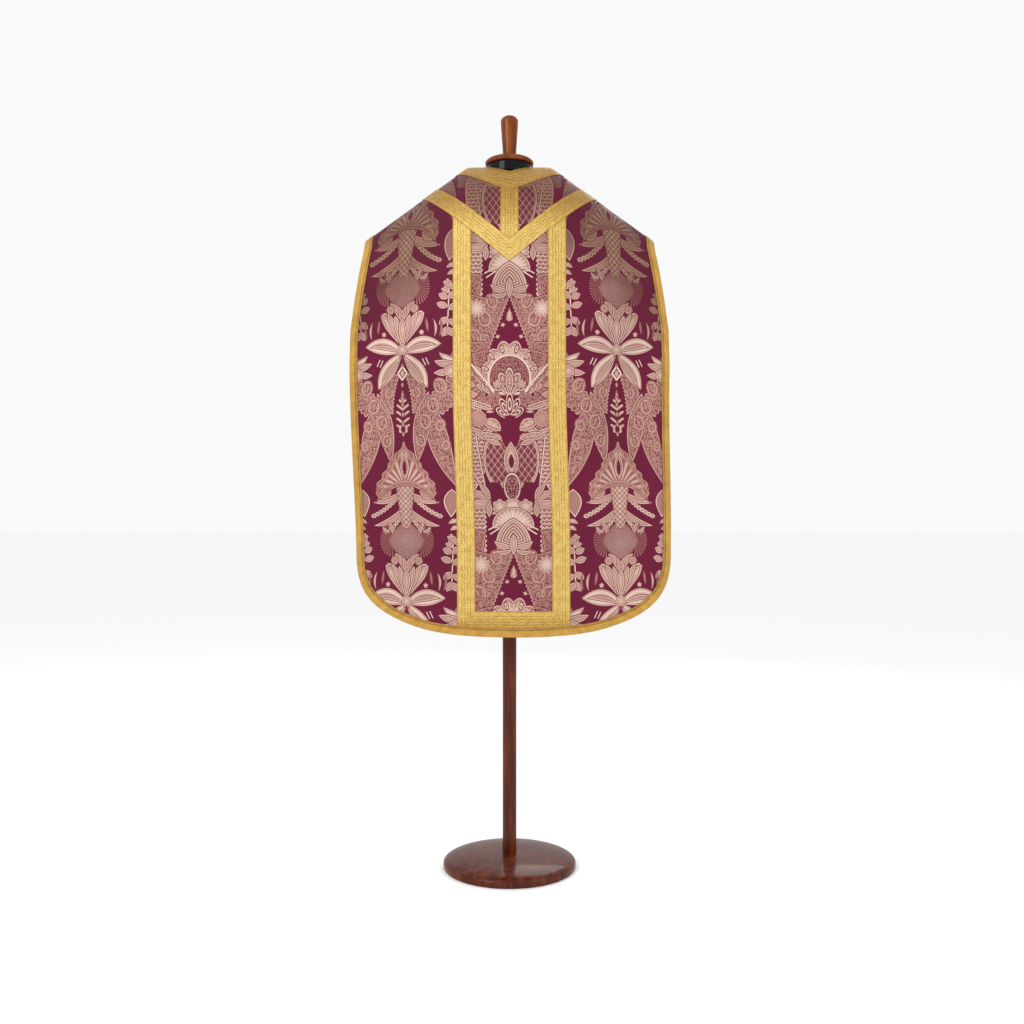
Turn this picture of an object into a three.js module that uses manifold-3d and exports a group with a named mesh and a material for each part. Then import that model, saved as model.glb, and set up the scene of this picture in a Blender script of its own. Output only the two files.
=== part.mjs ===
// A Roman chasuble worn by a limbless dress form: millimetres, +Z up, the floor at z = 0 and the
// stand's axis on the Z axis. The back of the chasuble faces -Y and its front faces +Y.
//
// The cloth is one draped surface: every lengthwise section is an arch that climbs the back, goes
// over the shoulder ridge and falls down the front. Each sewn piece is a wall of that surface,
// trimmed to its outline, and the trimmings are walls of the same surface moved outwards.
import * as THREE from "three";
import { mergeVertices } from "three/addons/utils/BufferGeometryUtils.js";
import Module from "manifold-3d";

const wasm = await Module();
wasm.setup();

// ---- Driving dimensions ----------------------------------------------------------------------
const GAP = 0.3; // between neighbouring pieces
const SEAM_ALLOWANCE = 0.55; // each panel stops this far above or below the pointed seam
const CLOTH = 2; // brocade, interlining and lining together
const GALLOON = 1.2; // woven gold trimming
const GALLOON_WIDTH = 42.5;
const BINDING_WIDTH = 20; // gold braid along the outer edges
const LIFT = CLOTH + GAP; // how far a trimming's underside is from the cloth's inner face

// The shoulder ridge of the draped cloth: level beside the neck, then sloping.
const RIDGE = { height: 1704, levelHalf: 100, slope: 0.705, corner: 6, half: 350 };
// How deep the cloth reaches behind and in front of the ridge, and the drop in which it does.
const DRAPE = { centreDepth: 140, edgeDepth: 48, centreDrop: 210, edgeDrop: 112 };
// Soft lengthwise folds, the same in front and behind: outwards where the depth is positive.
const FOLDS = [
  { x: -262, half: 74, depth: -9 },
  { x: -350, half: 60, depth: 7 },
  { x: 248, half: 70, depth: -8 },
  { x: 345, half: 62, depth: 8 },
  { x: 40, half: 80, depth: 3 },
];
const FOLD_FADE = { top: 1600, full: 1150 }; // the folds deepen between these heights
const SWAY = { shift: 10, top: 1190, bottom: 760 }; // the hem hangs a little to one side

const NECK = { half: 58, back: 1679, bandBack: 1619, bandHalf: 133 };
// The neckline in front and the outer edge of its galloon, as half outlines from the ridge down.
const NECK_FRONT = [
  { half: 52, z: 1690 },
  { half: 46, z: 1668 },
  { half: 46, z: 1528 },
  { half: 41, z: 1515 },
  { half: 28, z: 1510 },
];
const NECK_BAND_FRONT = [
  { half: 110, z: 1674 },
  { half: 88.5, z: 1650 },
  { half: 88.5, z: 1480 },
  { half: 77, z: 1467.5 },
];

const YOKE = { point: 1475, slope: 0.822, halfHeight: 25.8 }; // the pointed seam and its galloon
const YOKE_FRONT = { lean: 0.7, spread: 0.06, run: 170, steps: 5 }; // the seam, past the ridge
const COLUMN_INNER = 88.8; // inner edges of the two upright galloons
const COLUMN_OUTER = COLUMN_INNER + GALLOON_WIDTH;

const BACK = { corner: 776, cornerHalf: 377.5, hem: 578, galloonTop: 637 };
const BACK_SIDE = [
  { z: 1534, half: 349 },
  { z: 1497, half: 350 },
  { z: 1449, half: 359 },
  { z: 1377, half: 372 },
  { z: 1305, half: 383 },
  { z: 1221, half: 385.5 },
  { z: 1016, half: 382 },
  { z: 896, half: 380 },
];
const FRONT = { corner: 840, cornerHalf: 300, hem: 660, galloonTop: 719 };
const FRONT_SIDE = [
  { z: 1526, half: 349 },
  { z: 1502, half: 322 },
  { z: 1460, half: 296 },
  { z: 1405, half: 273 },
  { z: 1340, half: 257 },
  { z: 1270, half: 250 },
  { z: 1190, half: 252 },
  { z: 1090, half: 262 },
  { z: 980, half: 279 },
  { z: 900, half: 292 },
];
const HEM = { power: 2.75, steps: 13 }; // the rounded corners are a quarter of a superellipse

// The dress form, stand and finial.
const FORM_CLEARANCE = 0.4; // between the form's shoulders and the cloth that rests on them
const NECK_RADIUS = 54;
const NECK_BOTTOM = 1640;
const NECK_TOP = 1714.5;
// The torso's half widths and half depths, from its underside up to the shoulders.
const FORM = [
  { z: 850, half: 140, depth: 88 },
  { z: 878, half: 156, depth: 100 },
  { z: 960, half: 168, depth: 107 },
  { z: 1060, half: 170, depth: 108 },
  { z: 1180, half: 156, depth: 98 },
  { z: 1270, half: 151, depth: 94 },
  { z: 1380, half: 175, depth: 104 },
  { z: 1480, half: 190, depth: 108 },
  { z: 1570, half: 200, depth: 99 },
  { z: 1618, half: 197, depth: 88 },
];
// Along the shoulders the height follows from the ridge of the cloth.
const FORM_SHOULDERS = [
  { half: 185, depth: 74 },
  { half: 168, depth: 65 },
  { half: 151, depth: 56 },
  { half: 134, depth: 47 },
  { half: 117, depth: 38 },
];
const FORM_TOP = { z: 1695, half: 92, depth: 28 };
const FORM_SIDES = 32;
const POLE_RADIUS = 17;
const BASE = { radius: 161.5, height: 37, edgeHeight: 13 };
const CAP = { radius: 60, bottom: NECK_TOP + GAP, edge: 5, top: 1735 };
const KNOB = { bottomRadius: 15.7, topRadius: 21.8, height: 103, dome: 16 };

const ABOVE = 1780; // higher than any cloth
const REACH = 320; // deeper than any cloth

// ---- The draped surface ----------------------------------------------------------------------
const smoothstep = (t) => {
  const c = Math.min(1, Math.max(0, t));
  return c * c * (3 - 2 * c);
};

const sway = (z) => SWAY.shift * smoothstep((SWAY.top - z) / (SWAY.top - SWAY.bottom));

function ridgeHeight(x) {
  const past = Math.abs(x) - RIDGE.levelHalf;
  return RIDGE.height - RIDGE.slope * 0.5 * (past + Math.hypot(past, RIDGE.corner));
}

function depthAt(x) {
  const share = x / RIDGE.half;
  return DRAPE.edgeDepth + (DRAPE.centreDepth - DRAPE.edgeDepth) * (1 - share * share);
}

function dropAt(x) {
  const share = Math.abs(x) / RIDGE.half;
  return DRAPE.centreDrop - (DRAPE.centreDrop - DRAPE.edgeDrop) * share ** 1.5;
}

function foldAt(x, z) {
  const grown = smoothstep((FOLD_FADE.top - z) / (FOLD_FADE.top - FOLD_FADE.full));
  const bump = (fold) => fold.depth * smoothstep(1 - Math.abs(x - fold.x) / fold.half);
  return grown * FOLDS.reduce((sum, fold) => sum + bump(fold), 0);
}

// The inner face of the cloth at side position x, run millimetres from the ridge, behind it where
// run is positive. The arch is a quarter of an ellipse, and then the cloth hangs straight.
function clothPoint(x, run) {
  const depth = depthAt(x);
  const drop = dropAt(x);
  const archRun = (Math.PI / 4) * (depth + drop); // close to the length of the quarter ellipse
  const angle = Math.min(1, Math.abs(run) / archRun) * (Math.PI / 2);
  const below = drop * (1 - Math.cos(angle)) + Math.max(0, Math.abs(run) - archRun);
  const z = ridgeHeight(x) - below;
  const out = (depth + foldAt(x, z)) * Math.sin(angle);
  return new THREE.Vector3(x + sway(z), -Math.sign(run) * out, z);
}

function clothNormal(x, run) {
  const step = 1;
  const across = clothPoint(x + step, run).sub(clothPoint(x - step, run));
  const back = clothPoint(x, run + step).sub(clothPoint(x, run - step));
  return across.cross(back).negate().normalize();
}

// Stations of the walls: the trimmings share them, so their faces run parallel to the cloth's.
const COLUMNS_HALF = [34, 68, 93, 100, 107, 145, 185, 226, 262, 300, 334, 364, 396];
const COLUMNS = [...COLUMNS_HALF.map((x) => -x).reverse(), 0, ...COLUMNS_HALF];
const RUNS_HALF = [10, 24, 42, 64, 92, 126, 165, 210, 262, 325];
const HANGING_STEP = 104;
while (RUNS_HALF.at(-1) < ABOVE - BACK.hem) RUNS_HALF.push(RUNS_HALF.at(-1) + HANGING_STEP);
const RUNS = [...RUNS_HALF.map((run) => -run).reverse(), 0, ...RUNS_HALF];

// ---- Solids ----------------------------------------------------------------------------------
function solidFrom(geometry) {
  const bare = geometry.clone();
  bare.deleteAttribute("normal");
  bare.deleteAttribute("uv");
  const merged = mergeVertices(bare, 1e-4);
  return new wasm.Manifold(
    new wasm.Mesh({
      numProp: 3,
      vertProperties: merged.attributes.position.array,
      triVerts: new Uint32Array(merged.index.array),
    }),
  );
}

function geometryFrom(solid) {
  const mesh = solid.getMesh();
  return new THREE.BufferGeometry()
    .setAttribute("position", new THREE.BufferAttribute(mesh.vertProperties, 3))
    .setIndex(new THREE.BufferAttribute(mesh.triVerts, 1));
}

// A closed solid between two grids of points, outer[row][column] above inner[row][column].
function slab(outer, inner) {
  const rows = outer.length;
  const columns = outer[0].length;
  const at = (layer, row, column) => (layer * rows + row) * columns + column;
  const triangles = [];
  const quad = (a, b, c, d) => triangles.push(a, c, b, a, d, c);
  for (let r = 0; r < rows - 1; r++) {
    for (let c = 0; c < columns - 1; c++) {
      quad(at(0, r, c), at(0, r, c + 1), at(0, r + 1, c + 1), at(0, r + 1, c));
      quad(at(1, r, c), at(1, r + 1, c), at(1, r + 1, c + 1), at(1, r, c + 1));
    }
  }
  for (let c = 0; c < columns - 1; c++) {
    quad(at(1, 0, c), at(1, 0, c + 1), at(0, 0, c + 1), at(0, 0, c));
    quad(at(0, rows - 1, c), at(0, rows - 1, c + 1), at(1, rows - 1, c + 1), at(1, rows - 1, c));
  }
  for (let r = 0; r < rows - 1; r++) {
    quad(at(0, r, 0), at(0, r + 1, 0), at(1, r + 1, 0), at(1, r, 0));
    const last = columns - 1;
    quad(at(1, r, last), at(1, r + 1, last), at(0, r + 1, last), at(0, r, last));
  }
  const geometry = new THREE.BufferGeometry().setFromPoints([...outer.flat(), ...inner.flat()]);
  geometry.setIndex(triangles);
  return solidFrom(geometry);
}

// The whole draped surface as a wall, from low to high millimetres outside its inner face.
function wall(low, high) {
  const layer = (height) =>
    RUNS.map((run) =>
      COLUMNS.map((x) => clothPoint(x, run).addScaledVector(clothNormal(x, run), height)),
    );
  return slab(layer(high), layer(low));
}

// A prism along Y over an outline of [x, z] points in the hanging cloth.
function prism(outline, fromY, toY) {
  const shape = new THREE.Shape(outline.map(([x, z]) => new THREE.Vector2(x + sway(z), z)));
  const geometry = new THREE.ExtrudeGeometry(shape, { depth: toY - fromY, bevelEnabled: false });
  geometry.rotateX(Math.PI / 2);
  geometry.translate(0, toY, 0);
  return solidFrom(geometry);
}

const behind = (outline) => prism(outline, -REACH, 0);
const before = (outline) => prism(outline, 0, REACH);
const mirrored = (outline) => outline.map(([x, z]) => [-x, z]).reverse();
const symmetric = (half) => [...half, ...mirrored(half)];

// ---- Outlines --------------------------------------------------------------------------------
// All inside one side's outer edge, set in from it, as high as the cloth goes.
function sideOutline(side, table, inset) {
  const half = [[table[0].half - inset, ABOVE]];
  table.forEach((row) => half.push([row.half - inset, row.z]));
  const width = side.cornerHalf - inset;
  const height = side.corner - side.hem - inset;
  for (let k = 0; k <= HEM.steps; k++) {
    const angle = ((k / HEM.steps) * Math.PI) / 2;
    const x = width * Math.cos(angle) ** (2 / HEM.power);
    half.push([Math.max(x, 0.5), side.corner - height * Math.sin(angle) ** (2 / HEM.power)]);
  }
  return symmetric(half);
}

const backOutline = (inset) => sideOutline(BACK, BACK_SIDE, inset);
const frontOutline = (inset) => sideOutline(FRONT, FRONT_SIDE, inset);

// The neck opening, or the outer edge of its galloon, behind and in front of the ridge.
const neckBehind = (half, point, grow) => {
  const rise = (ridgeHeight(half) - point) / half;
  const z = (x) => point + rise * x - grow;
  const top = (ABOVE - point + grow) / rise;
  return symmetric([[top, z(top)], [0.5, z(0)]]);
};
const neckBefore = (half, point, table, grow) => {
  const rise = (ridgeHeight(half) - point) / half;
  const top = (ABOVE - point + grow) / rise;
  const start = [half + grow, point + rise * (half + grow) - grow];
  return symmetric([[top, ABOVE], start, ...table.map((row) => [row.half + grow, row.z - grow])]);
};
const neckHole = (grow) =>
  behind(neckBehind(NECK.half, NECK.back, grow)).add(
    before(neckBefore(NECK.half, NECK.back, NECK_FRONT, grow)),
  );
const neckBandEdge = (grow) =>
  behind(neckBehind(NECK.bandHalf, NECK.bandBack, grow)).add(
    before(neckBefore(NECK.bandHalf, NECK.bandBack, NECK_BAND_FRONT, grow)),
  );

// All that lies above the yoke's pointed seam, moved up by offset: behind, it is straight, and in
// front of the ridge it runs on down the shoulder to the side edge.
function aboveYoke(offset) {
  const level = (x) => YOKE.point + offset + YOKE.slope * x;
  const top = (ABOVE - level(0)) / YOKE.slope;
  const ridgeLine = RIDGE.height + RIDGE.slope * RIDGE.levelHalf;
  const crossing = (ridgeLine - level(0)) / (YOKE.slope + RIDGE.slope);
  const lean = YOKE_FRONT.lean - (YOKE_FRONT.spread * offset) / YOKE.halfHeight;
  const seam = [];
  for (let k = 0; k <= YOKE_FRONT.steps; k++) {
    const run = YOKE_FRONT.run * (k / YOKE_FRONT.steps);
    const x = crossing + lean * run;
    seam.push([x, k === 0 ? level(crossing) - 1 : clothPoint(x, -run).z]);
  }
  const low = FRONT.hem - REACH;
  const half = [[top, ABOVE], [crossing, level(crossing)], ...seam, [seam.at(-1)[0], low]];
  return behind(symmetric([[top, ABOVE], [0.5, level(0)]])).add(before(symmetric(half)));
}

// Behind and in front together, set in from the outer edges.
const garment = (inset) => behind(backOutline(inset)).add(before(frontOutline(inset)));

// One upright galloon's strip on the -X or +X side, ending in a mitre at the hem galloon.
function columnStrip(sign, galloonTop) {
  const foot = galloonTop + GAP;
  const strip = [
    [COLUMN_OUTER, ABOVE],
    [COLUMN_INNER, ABOVE],
    [COLUMN_INNER, foot],
    [COLUMN_OUTER, foot - GALLOON_WIDTH],
  ];
  return sign > 0 ? strip : mirrored(strip);
}

function hemStrip(galloonTop) {
  const foot = galloonTop - GALLOON_WIDTH;
  return symmetric([[COLUMN_INNER, galloonTop], [COLUMN_OUTER, foot], [COLUMN_OUTER, foot - REACH]]);
}

// ---- Cloth pieces ----------------------------------------------------------------------------
const cloth = wall(0, CLOTH);
const trimming = wall(LIFT, LIFT + GALLOON);
const whole = garment(0);
const withinBinding = garment(BINDING_WIDTH + GAP);

// The front goes over the shoulders to the pointed seam, and is sewn together at centre back.
function frontPanel() {
  const centreBackSeam = behind(symmetric([[GAP / 2, ABOVE], [GAP / 2, YOKE.point - CLOTH]]));
  const lengths = cloth.intersect(whole).intersect(aboveYoke(SEAM_ALLOWANCE));
  return lengths.subtract(neckHole(0)).subtract(centreBackSeam);
}

const backPanel = () => cloth.intersect(whole).subtract(aboveYoke(-SEAM_ALLOWANCE));
const neckGalloon = () => trimming.intersect(neckBandEdge(0)).subtract(neckHole(0));

function yokeGalloon() {
  const band = aboveYoke(-YOKE.halfHeight).subtract(aboveYoke(YOKE.halfHeight));
  return trimming.intersect(withinBinding).intersect(band);
}

function yokeCentreGalloon() {
  const half = GALLOON_WIDTH / 2;
  const strip = behind(symmetric([[half, ABOVE], [half, YOKE.point]]));
  const seats = aboveYoke(YOKE.halfHeight + GAP);
  return trimming.intersect(strip).intersect(seats).subtract(neckBandEdge(GAP));
}

function backColumnGalloon(sign) {
  const strip = behind(columnStrip(sign, BACK.galloonTop)).intersect(withinBinding);
  return trimming.intersect(strip).subtract(aboveYoke(-YOKE.halfHeight - GAP));
}

function frontColumnGalloon(sign) {
  const strip = before(columnStrip(sign, FRONT.galloonTop)).intersect(withinBinding);
  return trimming.intersect(strip).subtract(neckBandEdge(GAP));
}

const backHemGalloon = () =>
  trimming.intersect(behind(hemStrip(BACK.galloonTop))).intersect(withinBinding);
const frontHemGalloon = () =>
  trimming.intersect(before(hemStrip(FRONT.galloonTop))).intersect(withinBinding);

const bindingRing = () => trimming.intersect(whole).subtract(garment(BINDING_WIDTH));
const backBinding = () => bindingRing().subtract(aboveYoke(-SEAM_ALLOWANCE));
const frontBinding = () => bindingRing().intersect(aboveYoke(SEAM_ALLOWANCE));

// ---- Dress form, stand and finial ------------------------------------------------------------
function turned(profile, sides) {
  const geometry = new THREE.LatheGeometry(
    profile.map(([radius, z]) => new THREE.Vector2(radius, z)),
    sides,
  );
  return geometry.rotateX(Math.PI / 2);
}

// A closed solid through elliptical rings, listed from the bottom up.
function loft(rings) {
  const points = [];
  rings.forEach(({ z, half, depth }) => {
    for (let k = 0; k < FORM_SIDES; k++) {
      const angle = (k / FORM_SIDES) * 2 * Math.PI;
      points.push(new THREE.Vector3(half * Math.cos(angle), depth * Math.sin(angle), z));
    }
  });
  const bottom = points.push(new THREE.Vector3(0, 0, rings[0].z)) - 1;
  const top = points.push(new THREE.Vector3(0, 0, rings.at(-1).z)) - 1;
  const last = (rings.length - 1) * FORM_SIDES;
  const triangles = [];
  for (let k = 0; k < FORM_SIDES; k++) {
    const next = (k + 1) % FORM_SIDES;
    triangles.push(bottom, next, k, top, last + k, last + next);
    for (let r = 0; r < last; r += FORM_SIDES) {
      triangles.push(r + k, r + next, r + FORM_SIDES + next);
      triangles.push(r + k, r + FORM_SIDES + next, r + FORM_SIDES + k);
    }
  }
  const geometry = new THREE.BufferGeometry().setFromPoints(points);
  geometry.setIndex(triangles);
  return solidFrom(geometry);
}

// The form's shoulders run just under the cloth's ridge, so that the chasuble rests on them.
function formTorso() {
  const below = FORM_CLEARANCE * Math.hypot(1, RIDGE.slope);
  const shoulders = FORM_SHOULDERS.map((ring) => ({ ...ring, z: ridgeHeight(ring.half) - below }));
  const body = loft([...FORM, ...shoulders, FORM_TOP]);
  const neck = turned(
    [
      [0, NECK_BOTTOM],
      [NECK_RADIUS, NECK_BOTTOM],
      [NECK_RADIUS, NECK_TOP - 2],
      [NECK_RADIUS - 2, NECK_TOP],
      [0, NECK_TOP],
    ],
    FORM_SIDES,
  );
  return body.add(solidFrom(neck));
}

// A quarter ellipse from the rim inwards and up, as [radius, z] points.
function dome(rimRadius, rimZ, topRadius, topZ, steps) {
  const points = [];
  for (let k = 0; k <= steps; k++) {
    const angle = ((k / steps) * Math.PI) / 2;
    const radius = topRadius + (rimRadius - topRadius) * Math.cos(angle);
    points.push([radius, rimZ + (topZ - rimZ) * Math.sin(angle)]);
  }
  return points;
}

function standBase() {
  const edge = dome(BASE.radius, BASE.edgeHeight, POLE_RADIUS + 6, BASE.height, 6);
  return turned([[0, 0], [BASE.radius - 3, 0], [BASE.radius, 3], ...edge, [0, BASE.height]], 48);
}

function standPole() {
  const bottom = BASE.height + GAP;
  const top = FORM[0].z - GAP;
  return turned([[0, bottom], [POLE_RADIUS, bottom], [POLE_RADIUS, top], [0, top]], 24);
}

function neckCap() {
  const edge = dome(CAP.radius, CAP.bottom + CAP.edge, KNOB.bottomRadius + 4, CAP.top, 5);
  return turned([[0, CAP.bottom], [CAP.radius - 2, CAP.bottom], ...edge, [0, CAP.top]], 40);
}

function finial() {
  const bottom = CAP.top + GAP;
  const top = bottom + KNOB.height;
  const crown = dome(KNOB.topRadius, top - KNOB.dome, 0, top, 5).slice(0, -1);
  return turned([[0, bottom], [KNOB.bottomRadius, bottom], ...crown, [0, top]], 28);
}

// ---- Scene -----------------------------------------------------------------------------------
const paint = (color, roughness, metalness = 0) =>
  new THREE.MeshStandardMaterial({ color, roughness, metalness });
const brocade = paint(0x7d3b5c, 0.55, 0.1);
const goldGalloon = paint(0xc9a24c, 0.45, 0.5);
const goldBraid = paint(0xb8892f, 0.5, 0.4);
const blackLacquer = paint(0x14161a, 0.2);
const darkWood = paint(0x5a2a14, 0.25);
const knobWood = paint(0x82401a, 0.25);

const chasuble = new THREE.Group();
const add = (name, geometry, material) => {
  const mesh = new THREE.Mesh(geometry, material);
  mesh.name = name;
  chasuble.add(mesh);
};

add("stand_base", standBase(), darkWood);
add("stand_pole", standPole(), darkWood);
add("form_torso", geometryFrom(formTorso()), blackLacquer);
add("neck_cap", neckCap(), knobWood);
add("finial_knob", finial(), knobWood);
add("back_panel", geometryFrom(backPanel()), brocade);
add("front_panel", geometryFrom(frontPanel()), brocade);
add("neck_galloon", geometryFrom(neckGalloon()), goldGalloon);
add("yoke_galloon", geometryFrom(yokeGalloon()), goldGalloon);
add("yoke_centre_galloon", geometryFrom(yokeCentreGalloon()), goldGalloon);
for (const [side, sign] of [["left", -1], ["right", 1]]) {
  add(`back_column_galloon_${side}`, geometryFrom(backColumnGalloon(sign)), goldGalloon);
  add(`front_column_galloon_${side}`, geometryFrom(frontColumnGalloon(sign)), goldGalloon);
}
add("back_hem_galloon", geometryFrom(backHemGalloon()), goldGalloon);
add("front_hem_galloon", geometryFrom(frontHemGalloon()), goldGalloon);
add("back_binding", geometryFrom(backBinding()), goldBraid);
add("front_binding", geometryFrom(frontBinding()), goldBraid);

export default chasuble;
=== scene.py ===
# %% [markdown]
# # A Roman chasuble on a dress form
# A Roman chasuble is a stiff silk vestment: a broad back panel, a narrower front that goes over the
# shoulders, gold galloon ribbons over the seams, and a gold braid folded over the outer edges. Here
# it is worn by a limbless dress form on a turned wooden stand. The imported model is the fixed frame:
# it gives every size, and each piece below is a finer one on the same surface.

# %% The fixed frame
import math

import bmesh
import bpy
from mathutils import Matrix, Vector


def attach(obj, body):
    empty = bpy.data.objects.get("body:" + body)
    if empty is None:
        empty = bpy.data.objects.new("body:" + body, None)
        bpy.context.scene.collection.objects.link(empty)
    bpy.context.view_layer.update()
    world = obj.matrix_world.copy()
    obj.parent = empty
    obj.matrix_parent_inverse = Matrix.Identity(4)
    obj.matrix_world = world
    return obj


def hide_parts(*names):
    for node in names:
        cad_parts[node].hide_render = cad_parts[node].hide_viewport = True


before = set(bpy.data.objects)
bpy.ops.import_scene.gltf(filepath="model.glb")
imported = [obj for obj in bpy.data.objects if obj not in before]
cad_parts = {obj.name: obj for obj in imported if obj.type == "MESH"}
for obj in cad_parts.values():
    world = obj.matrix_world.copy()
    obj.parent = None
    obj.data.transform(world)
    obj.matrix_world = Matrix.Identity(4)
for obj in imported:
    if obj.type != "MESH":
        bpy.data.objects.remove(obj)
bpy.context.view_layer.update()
print("nodes in the frame:", len(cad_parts))

# %% [markdown]
# ## Camera, floor and light
# The view is level, at the height of the form's hips, from behind. A level camera keeps upright
# lines upright, so the stand doesn't lean. The light is a studio's: a large soft key from the left,
# a weaker fill, and a pale floor that bounces both.

# %% Camera
CAMERA_PLACE = Vector((0.006, -2.6, 0.8675))
CAMERA_LENS, SENSOR_WIDTH = 37.3, 36.0  # millimetres

camera_data = bpy.data.cameras.new("camera")
camera_data.lens = CAMERA_LENS
camera_data.sensor_width = SENSOR_WIDTH
camera = bpy.data.objects.new("camera", camera_data)
camera.location = CAMERA_PLACE
camera.rotation_euler = (math.radians(90), 0, 0)
bpy.context.scene.collection.objects.link(camera)
bpy.context.scene.camera = camera


# %% Lights
def area_light(name, place, aim, size, power):
    """A square soft box at place, turned towards aim."""
    data = bpy.data.lights.new(name, "AREA")
    data.shape = "SQUARE"
    data.size = size
    data.energy = power
    light = bpy.data.objects.new(name, data)
    light.location = place
    light.rotation_euler = (Vector(aim) - Vector(place)).to_track_quat("-Z", "Y").to_euler()
    bpy.context.scene.collection.objects.link(light)


CHEST = (0, 0, 1.2)
area_light("key", (-2.2, -2.6, 2.9), CHEST, 1.6, 60)
area_light("fill", (2.6, -2.2, 1.6), CHEST, 1.8, 22)
area_light("rim", (0.6, 2.6, 2.6), CHEST, 1.6, 25)

world = bpy.data.worlds.new("studio")
world.use_nodes = True
world.node_tree.nodes["Background"].inputs["Color"].default_value = (1, 1, 1, 1)
world.node_tree.nodes["Background"].inputs["Strength"].default_value = 0.95
bpy.context.scene.world = world
bpy.context.scene.view_settings.view_transform = "Standard"

# %% [markdown]
# ## The draped surface
# All cloth here lies on one surface. Across the body a point has a side position x, and along the
# cloth it has a run: its distance from the shoulder ridge, positive down the back and negative down
# the front. From the ridge the cloth curves down a quarter of an ellipse and then hangs. Pieces are
# cut flat, in x and run, and this one function hangs them, so they fit each other as sewn ones do.

# %% How the cloth hangs
MM = 0.001
RIDGE_TOP = 1704 * MM
RIDGE_LEVEL_HALF = 100 * MM
RIDGE_SLOPE = 0.705
RIDGE_CORNER = 6 * MM
RIDGE_HALF = 350 * MM
CENTRE_DEPTH, EDGE_DEPTH = 140 * MM, 48 * MM
CENTRE_DROP, EDGE_DROP = 210 * MM, 112 * MM
CLOTH = 2 * MM
LIFT = 2.3 * MM
GALLOON = 1.2 * MM
GALLOON_WIDTH = 42.5 * MM
BINDING_WIDTH = 20 * MM
GAP = 0.3 * MM

# Soft lengthwise folds: side position, half width and depth outwards.
FOLDS = [
    (-262 * MM, 74 * MM, -9 * MM),
    (-350 * MM, 60 * MM, 7 * MM),
    (248 * MM, 70 * MM, -8 * MM),
    (345 * MM, 62 * MM, 8 * MM),
    (40 * MM, 80 * MM, 3 * MM),
]
FOLD_TOP, FOLD_FULL = 1600 * MM, 1150 * MM
SWAY, SWAY_TOP, SWAY_BOTTOM = 10 * MM, 1190 * MM, 760 * MM


def smoothstep(share):
    share = min(1.0, max(0.0, share))
    return share * share * (3 - 2 * share)


def sway(z):
    return SWAY * smoothstep((SWAY_TOP - z) / (SWAY_TOP - SWAY_BOTTOM))


def ridge_height(x):
    past = abs(x) - RIDGE_LEVEL_HALF
    return RIDGE_TOP - RIDGE_SLOPE * 0.5 * (past + math.hypot(past, RIDGE_CORNER))


def depth_at(x):
    share = x / RIDGE_HALF
    return EDGE_DEPTH + (CENTRE_DEPTH - EDGE_DEPTH) * (1 - share * share)


def drop_at(x):
    return CENTRE_DROP - (CENTRE_DROP - EDGE_DROP) * (abs(x) / RIDGE_HALF) ** 1.5


def arch_run(x):
    return math.pi / 4 * (depth_at(x) + drop_at(x))


def fold_at(x, z):
    grown = smoothstep((FOLD_TOP - z) / (FOLD_TOP - FOLD_FULL))
    return grown * sum(depth * smoothstep(1 - abs(x - at) / half) for at, half, depth in FOLDS)


# Creases from storage and handling: two ends (x, z), half width, depth outwards.
CREASES_BEHIND = [
    ((-0.375, 0.905), (-0.150, 0.893), 0.016, -0.0022),
    ((-0.100, 0.898), (0.110, 0.905), 0.014, -0.0016),
    ((0.140, 0.900), (0.372, 0.893), 0.017, -0.0024),
    ((-0.372, 0.935), (-0.190, 0.928), 0.020, 0.0016),
    ((0.180, 0.930), (0.368, 0.926), 0.020, 0.0018),
    ((-0.215, 1.480), (-0.300, 1.250), 0.030, -0.0045),
    ((0.225, 1.470), (0.305, 1.220), 0.030, -0.0040),
    ((-0.330, 1.490), (-0.270, 1.400), 0.018, 0.0030),
    ((0.328, 1.480), (0.262, 1.385), 0.018, 0.0028),
    ((-0.180, 1.300), (-0.215, 0.980), 0.030, -0.0028),
    ((0.175, 1.260), (0.200, 0.990), 0.028, -0.0024),
    ((-0.240, 0.860), (-0.300, 0.690), 0.026, -0.0030),
    ((0.235, 0.850), (0.285, 0.680), 0.026, -0.0030),
]
CREASES_BEFORE = [
    ((-0.240, 1.010), (-0.110, 1.000), 0.015, -0.0020),
    ((-0.090, 1.004), (0.095, 1.010), 0.014, -0.0015),
    ((0.115, 1.006), (0.245, 0.998), 0.016, -0.0021),
    ((-0.180, 1.420), (-0.205, 1.160), 0.026, -0.0035),
    ((0.178, 1.430), (0.200, 1.140), 0.026, -0.0033),
    ((-0.170, 0.930), (-0.215, 0.760), 0.024, -0.0028),
    ((0.165, 0.920), (0.210, 0.740), 0.024, -0.0026),
]


CREASE_FADE, CREASE_GROWTH = 0.15, 0.35  # shares of a crease's length: past its ends, and to full


def crease_at(x, z, creases):
    """How far the creases push the cloth outwards at (x, z)."""
    total = 0.0
    for (x0, z0), (x1, z1), half, depth in creases:
        dx, dz = x1 - x0, z1 - z0
        along = ((x - x0) * dx + (z - z0) * dz) / (dx * dx + dz * dz)
        if not -CREASE_FADE < along < 1 + CREASE_FADE:
            continue
        away = abs((x - x0) * dz - (z - z0) * dx) / math.hypot(dx, dz)
        if away < half:
            ends = smoothstep((along + CREASE_FADE) / CREASE_GROWTH)
            ends *= smoothstep((1 + CREASE_FADE - along) / CREASE_GROWTH)
            total += depth * ends * smoothstep(1 - away / half)
    return total


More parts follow.
